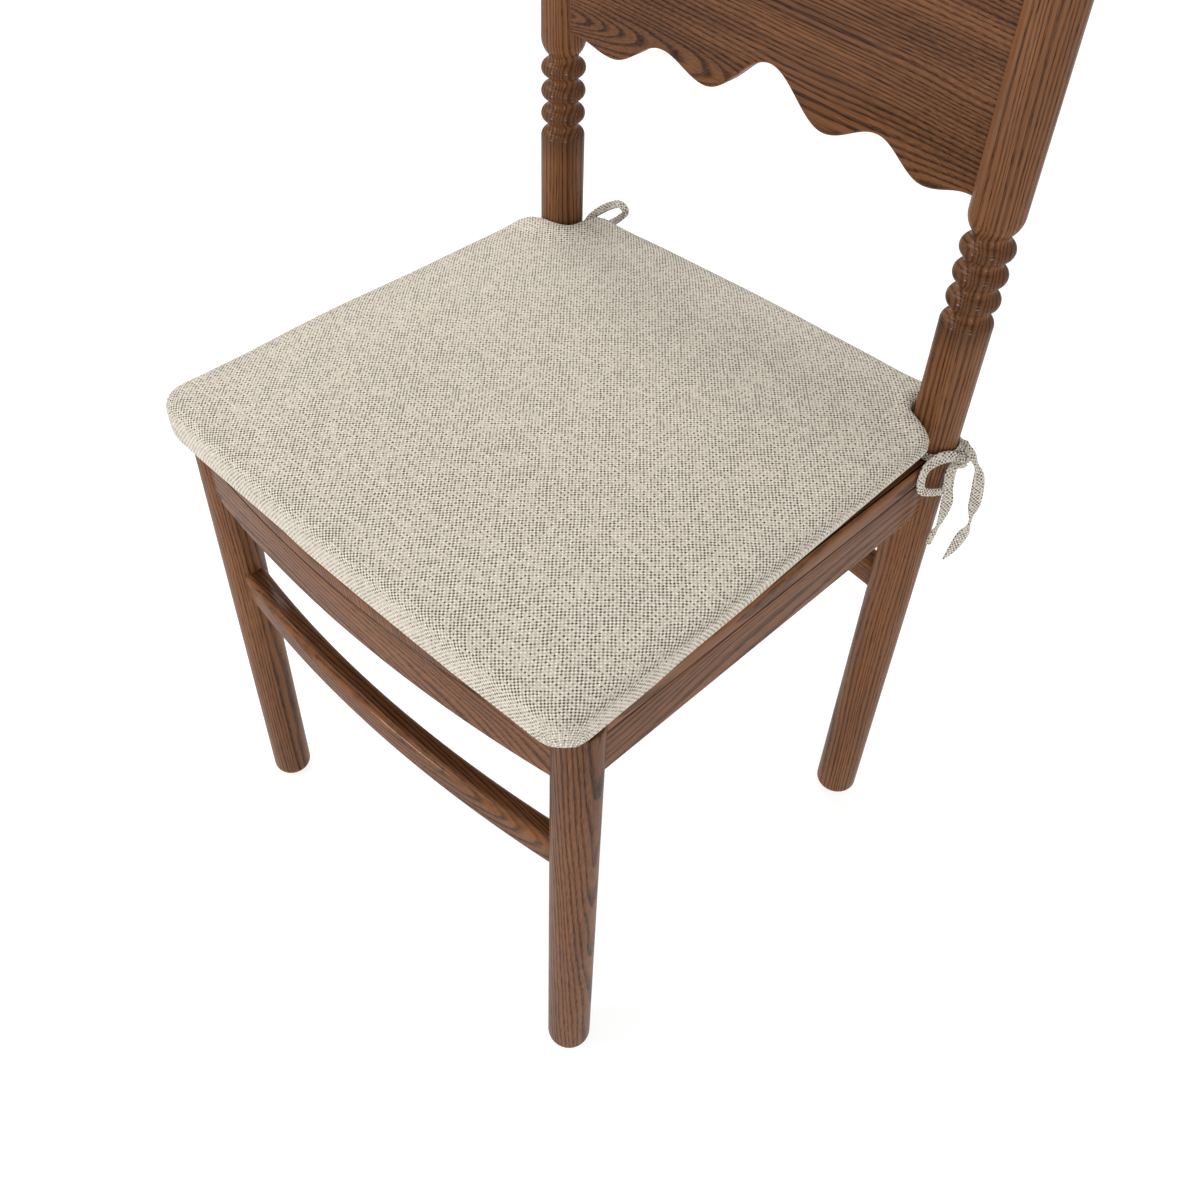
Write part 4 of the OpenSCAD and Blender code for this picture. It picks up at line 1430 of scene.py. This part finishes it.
@dataclass
class Tie:
    """A pair of tapes sewn to the pad, taken round a post and tied in a bow."""

    side: Side
    knot: Point3
    knot_turn: float
    wrap: tuple[float, float, float]
    loops: tuple[Tape, ...]
    tails: tuple[Tape, ...]
    thick: float = 1.9
    wide: float = 10.0

    def origin(self) -> np.ndarray:
        """The post's axis at the seat board's top face."""
        x, y = axis_of(f"rear_post_{self.side.word}")
        return np.array([x, y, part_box("seat_board")[1].z])

    def wrap_tape(self) -> Tape:
        """The tape round the post, between two angles in degrees."""
        start, end, height = self.wrap
        radius = radius_of(f"rear_post_{self.side.word}") / MM + 1.4
        steps = 16
        angles = [math.radians(start + (end - start) * i / steps) for i in range(steps + 1)]
        route = [(radius * math.cos(a), radius * math.sin(a), height + 0.8 * math.sin(3 * a)) for a in angles]
        widths = [self.wide * (0.9 - 0.25 * abs(2 * i / steps - 1) ** 2) for i in range(steps + 1)]
        return Tape(tuple(route), tuple(widths), tuple((math.cos(a), math.sin(a), 0.0) for a in angles))

    def knot_tapes(self) -> tuple[Tape, ...]:
        """Three short turns of tape, one over the other, which make the knot."""
        turns: list[Tape] = []
        turned = Matrix.Rotation(math.radians(self.knot_turn), 3, "Z")
        for tilt, reach, wide in ((14.0, 5.6, 11.0), (-46.0, 6.6, 9.0), (74.0, 5.0, 7.0)):
            tipped = turned @ Matrix.Rotation(math.radians(tilt), 3, "X")
            route, facing = [], []
            for i in range(11):
                a = 2 * math.pi * i / 10.4
                creep = 0.25 * wide * (i / 10 - 0.5)
                spot = tipped @ Vector((reach * math.cos(a), creep, reach * math.sin(a)))
                route.append(tuple(np.array(self.knot) + np.array(spot)))
                facing.append(tuple(tipped @ Vector((math.cos(a), 0.0, math.sin(a)))))
            turns.append(Tape(tuple(route), tuple([wide] * 11), tuple(facing)))
        return tuple(turns)

    def part(self, part: TiePart, tapes: Sequence[Tape], finishes: Finishes) -> None:
        """Makes one part of the tie from its tapes."""
        word, hold = part.value
        node = f"tie_{self.side.word}_{word}"
        solids = [tape.solid(self.origin(), self.thick) for tape in tapes]
        points, faces, flats, shift = [], [], [], 0
        for solid, flat in solids:
            faces += [[i + shift for i in face] for face in solid.faces]
            points.append(solid.points)
            flats.append(flat + (0.13 * len(flats), 0.31, 0))
            shift += len(solid.points)
        whole = Solid(np.concatenate(points), faces, np.zeros(shift))
        piece = whole.build(node + "_tape", 60)
        mark(piece.data, "weave", np.concatenate(flats))
        mark(piece.data, "side", np.zeros(shift))
        mark(piece.data, "fold", np.full(shift, 0.7))
        settle(piece, "tape_cloth", finishes, node)
        length = sum(tape.length() for tape in tapes)
        log.info("%s: %.3f m of tape", piece.name, length)

    def build(self, finishes: Finishes) -> None:
        """Makes the tie."""
        self.part(TiePart.WRAP, [self.wrap_tape()], finishes)
        self.part(TiePart.KNOT, self.knot_tapes(), finishes)
        self.part(TiePart.LOOPS, self.loops, finishes)
        self.part(TiePart.TAILS, self.tails, finishes)


def right_tie() -> Tie:
    """The tie at the right post, with its bow on the post's outer side."""
    loop_face = (0.62, -0.60, 0.5)
    front = Tape(
        ((25.5, -1.5, 4), (22.5, -8.5, 8), (18.5, -17, 8.5), (16, -24, 6.5), (15, -30, 3), (14.8, -32, -7),
         (16, -30, -17.5), (19, -23.5, -22), (22.5, -13.5, -25.5), (25.3, -8.5, -24.5), (25.5, -7.5, -17),
         (24.5, -7, -9), (25, -3, -3), (26, 0.5, -0.5)),
        (7, 9, 9.5, 9, 8.5, 8.5, 7.5, 6.5, 6, 6, 6.5, 7, 7, 7),
        (loop_face, loop_face, loop_face, (0.75, -0.5, 0.45), (0.9, -0.35, 0.3), (0.95, -0.3, 0.2),
         (0.9, -0.35, 0.3), (0.75, -0.5, 0.45), *[loop_face] * 6))
    rear = Tape(
        ((25, 3, 3), (22.5, 12, 6), (17, 15.5, 7.5), (11, 20.5, 5), (4, 25, -2), (2, 26, -12),
         (8, 25, -20), (16, 21, -17), (22, 15, -9), (26, 8, -2)),
        (8, 9.5, 9, 8, 7, 7, 7, 7, 7, 6),
        ((0.9, 0.1, 0.4), (0.75, -0.2, 0.6), (0.7, -0.2, 0.7), (0.5, 0.5, 0.7), (0, 1, 0.2), (0, 1, 0),
         (0.3, 1, 0), (0.5, 0.8, 0), (0.8, 0.5, 0.1), (0.9, 0.3, 0.1)))
    level = (0.72, -0.70, 0.15)
    long_tail = Tape(
        ((23.5, 10.5, 7), (29.5, 13, 1), (34.5, 15.5, -8), (38, 18, -18), (40, 20, -34), (41, 21, -50.5),
         (41.5, 21.5, -64), (41.5, 21.5, -70), (40.5, 20, -78), (38.5, 18, -89), (36, 15.5, -100.5),
         (33, 12.5, -110)),
        (8, 7.5, 5, 8.5, 10.4, 9.5, 4.5, 4.5, 9, 10, 6.5, 0.8),
        ((0.8, -0.3, 0.5), (0.8, -0.4, 0.4), (0.95, 0.1, 0.2), level, level, level, (0.98, 0.1, 0.1),
         (0.98, 0.1, 0.1), level, level, level, level))
    short_tail = Tape(
        ((24, -1, -9), (25.5, -2.5, -20), (26.5, -3, -29), (27.5, -2, -40), (27.5, -2, -52.5),
         (26.5, -3, -66), (25.5, -4, -72), (24.5, -5, -79), (24, -5.5, -86)),
        (6, 6, 7.5, 9.8, 7.5, 2.8, 4.5, 5, 4.5),
        (*[level] * 5, (0.4, -0.9, -0.1), *[(0.1, -1, -0.3)] * 3))
    return Tie(Side.RIGHT, (25.5, 2, 2), 6.0, (-78, 170, 5), (front, rear), (long_tail, short_tail))


def left_tie() -> Tie:
    """The tie at the left post, knotted behind it."""
    inner = Tape(
        ((4, 29, 20), (9, 33, 28), (18, 36, 36.5), (28, 39, 43.5), (37, 41, 46.5), (42.5, 42, 41),
         (35, 42, 31.5), (23.5, 40, 21.5), (14, 35, 14)),
        (6, 8, 9, 9, 8, 7, 8, 8, 6), ((0.45, -0.35, 0.8),))
    outer = Tape(
        ((0, 28, 17), (-10, 30, 17), (-22, 29, 9), (-34, 25, -4), (-41, 20, -18), (-40, 18, -30),
         (-31, 22, -31), (-20, 27, -20), (-9, 30, -4), (-1, 31, 7)),
        (6, 8, 9, 9, 9, 8, 9, 9, 8, 6), ((-0.3, 0.9, 0.3),))
    long_tail = Tape(
        ((9, 32, 9), (13, 34, -10), (15, 34, -32), (13, 33, -56), (8, 32, -80)),
        (6, 9, 10, 9, 1.5), ((0.1, 1, 0), (0.3, 1, 0), (0.6, 0.8, 0), (0.1, 1, 0), (0.1, 1, 0)))
    short_tail = Tape(
        ((-3, 34, 4), (-4, 35, -14), (-6, 34, -36), (-4, 32, -58)),
        (6, 9, 9, 3), ((-0.1, 1, 0), (-0.3, 1, 0), (-0.5, 0.8, 0), (-0.1, 1, 0)))
    return Tie(Side.LEFT, (6, 27, 14), 100.0, (10, 258, 12), (inner, outer), (long_tail, short_tail))


# ---------------------------------------------------------------- fixings


@dataclass
class Fixings:
    """The blocks, dowels, screws and glides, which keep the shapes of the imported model."""

    # Part of a CAD node's name, and the slot of its finish. The first that fits holds.
    slots: tuple[tuple[str, str], ...] = (
        ("_screws", "screw_steel"), ("_dowels", "raw_wood"), ("corner_block", "raw_wood"),
        ("foot_glides", "glide_plastic"),
    )

    def build(self, finishes: Finishes) -> None:
        """Dresses each of them."""
        for name, piece in sorted(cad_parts.items()):
            slot = next((slot for word, slot in self.slots if word in name), None)
            if slot:
                finishes.dress(piece, slot)
                log.info("%s: dressed as %s", name, slot)


# ---------------------------------------------------------------- studio


@dataclass
class Studio:
    """A pale floor, soft lights and the camera."""

    camera_place: Point3 = (0.54529, -0.55560, 1.06737)
    camera_azimuth: float = 45.872
    camera_elevation: float = 45.955
    lens: float = 36.86
    shift: float = 0.0462
    floor_half: float = 12.0
    # Name, place, width in metres and power in watts of each soft panel.
    panels: tuple[tuple[str, Point3, float, float], ...] = (
        ("above", (-1.1, 0.1, 2.3), 1.6, 38.0),
        ("low_left", (-0.75, -1.75, 0.45), 0.36, 10.0),
        ("low_right", (1.95, -1.15, 0.45), 0.36, 10.0),
        ("high_left", (-0.615, -1.435, 1.59), 0.4, 3.5),
        ("high_right", (1.6, -0.94, 1.8), 0.4, 3.5),
    )

    def floor(self) -> None:
        """A wide pale floor, lit from within a little so that shadows on it stay faint."""
        mesh = bpy.data.meshes.new("floor")
        half = self.floor_half
        corners = [(-half, -half, 0), (half, -half, 0), (half, half, 0), (-half, half, 0)]
        mesh.from_pydata(corners, [], [(0, 1, 2, 3)])
        floor = bpy.data.objects.new("floor", mesh)
        bpy.context.scene.collection.objects.link(floor)
        material, graph, shader = start_material("pale_floor")
        place = graph.place()
        cloud = graph.noise(place, 3.0, 2.0)
        paint = graph.mix(cloud, (0.34, 0.34, 0.34, 1), (0.36, 0.36, 0.36, 1))
        graph.feed(shader.inputs["Base Color"], paint)
        shader.inputs["Roughness"].default_value = 0.9
        shader.inputs["Specular IOR Level"].default_value = 0.1
        shader.inputs["Emission Color"].default_value = (1, 1, 1, 1)
        shader.inputs["Emission Strength"].default_value = 0.8
        mesh.materials.append(material)

    def lights(self) -> None:
        """A white surround and five soft panels."""
        world = bpy.data.worlds.new("surround")
        bpy.context.scene.world = world
        world.use_nodes = True
        background = world.node_tree.nodes["Background"]
        background.inputs["Color"].default_value = (1.0, 1.0, 1.0, 1)
        background.inputs["Strength"].default_value = 0.62
        for panel in self.panels:
            self.panel(*panel)

    @staticmethod
    def panel(name: str, place: Point3, size: float, power: float) -> None:
        """A square soft light that faces the seat."""
        light = bpy.data.lights.new(name, "AREA")
        light.shape, light.size, light.energy = "SQUARE", size, power
        lamp = bpy.data.objects.new(name, light)
        lamp.location = place
        lamp.rotation_euler = (Vector((0, 0, 0.5)) - Vector(place)).to_track_quat("-Z", "Y").to_euler()
        bpy.context.scene.collection.objects.link(lamp)

    def camera(self) -> None:
        """The camera, high in front of the chair's right-hand side."""
        data = bpy.data.cameras.new("camera")
        data.sensor_width, data.lens, data.shift_x = 36.0, self.lens, self.shift
        data.clip_start, data.clip_end = 0.02, 60.0
        camera = bpy.data.objects.new("camera", data)
        a, e = math.radians(self.camera_azimuth), math.radians(self.camera_elevation)
        back = Vector((math.sin(a) * math.cos(e), -math.cos(a) * math.cos(e), math.sin(e)))
        camera.location = self.camera_place
        camera.rotation_euler = (-back).to_track_quat("-Z", "Y").to_euler()
        bpy.context.scene.collection.objects.link(camera)
        bpy.context.scene.camera = camera

    def build(self) -> None:
        """Sets the stage."""
        bpy.context.scene.view_settings.view_transform = "Standard"
        self.camera()
        self.floor()
        self.lights()


def main() -> None:
    """Builds the chair and its stage."""
    logging.basicConfig(level=logging.INFO, format="%(name)s: %(message)s")
    Studio().build()
    finishes = Finishes()
    WoodenFrame().build(finishes)
    SeatPad().build(finishes)
    right_tie().build(finishes)
    left_tie().build(finishes)
    Fixings().build(finishes)


if __name__ == "__main__":
    main()
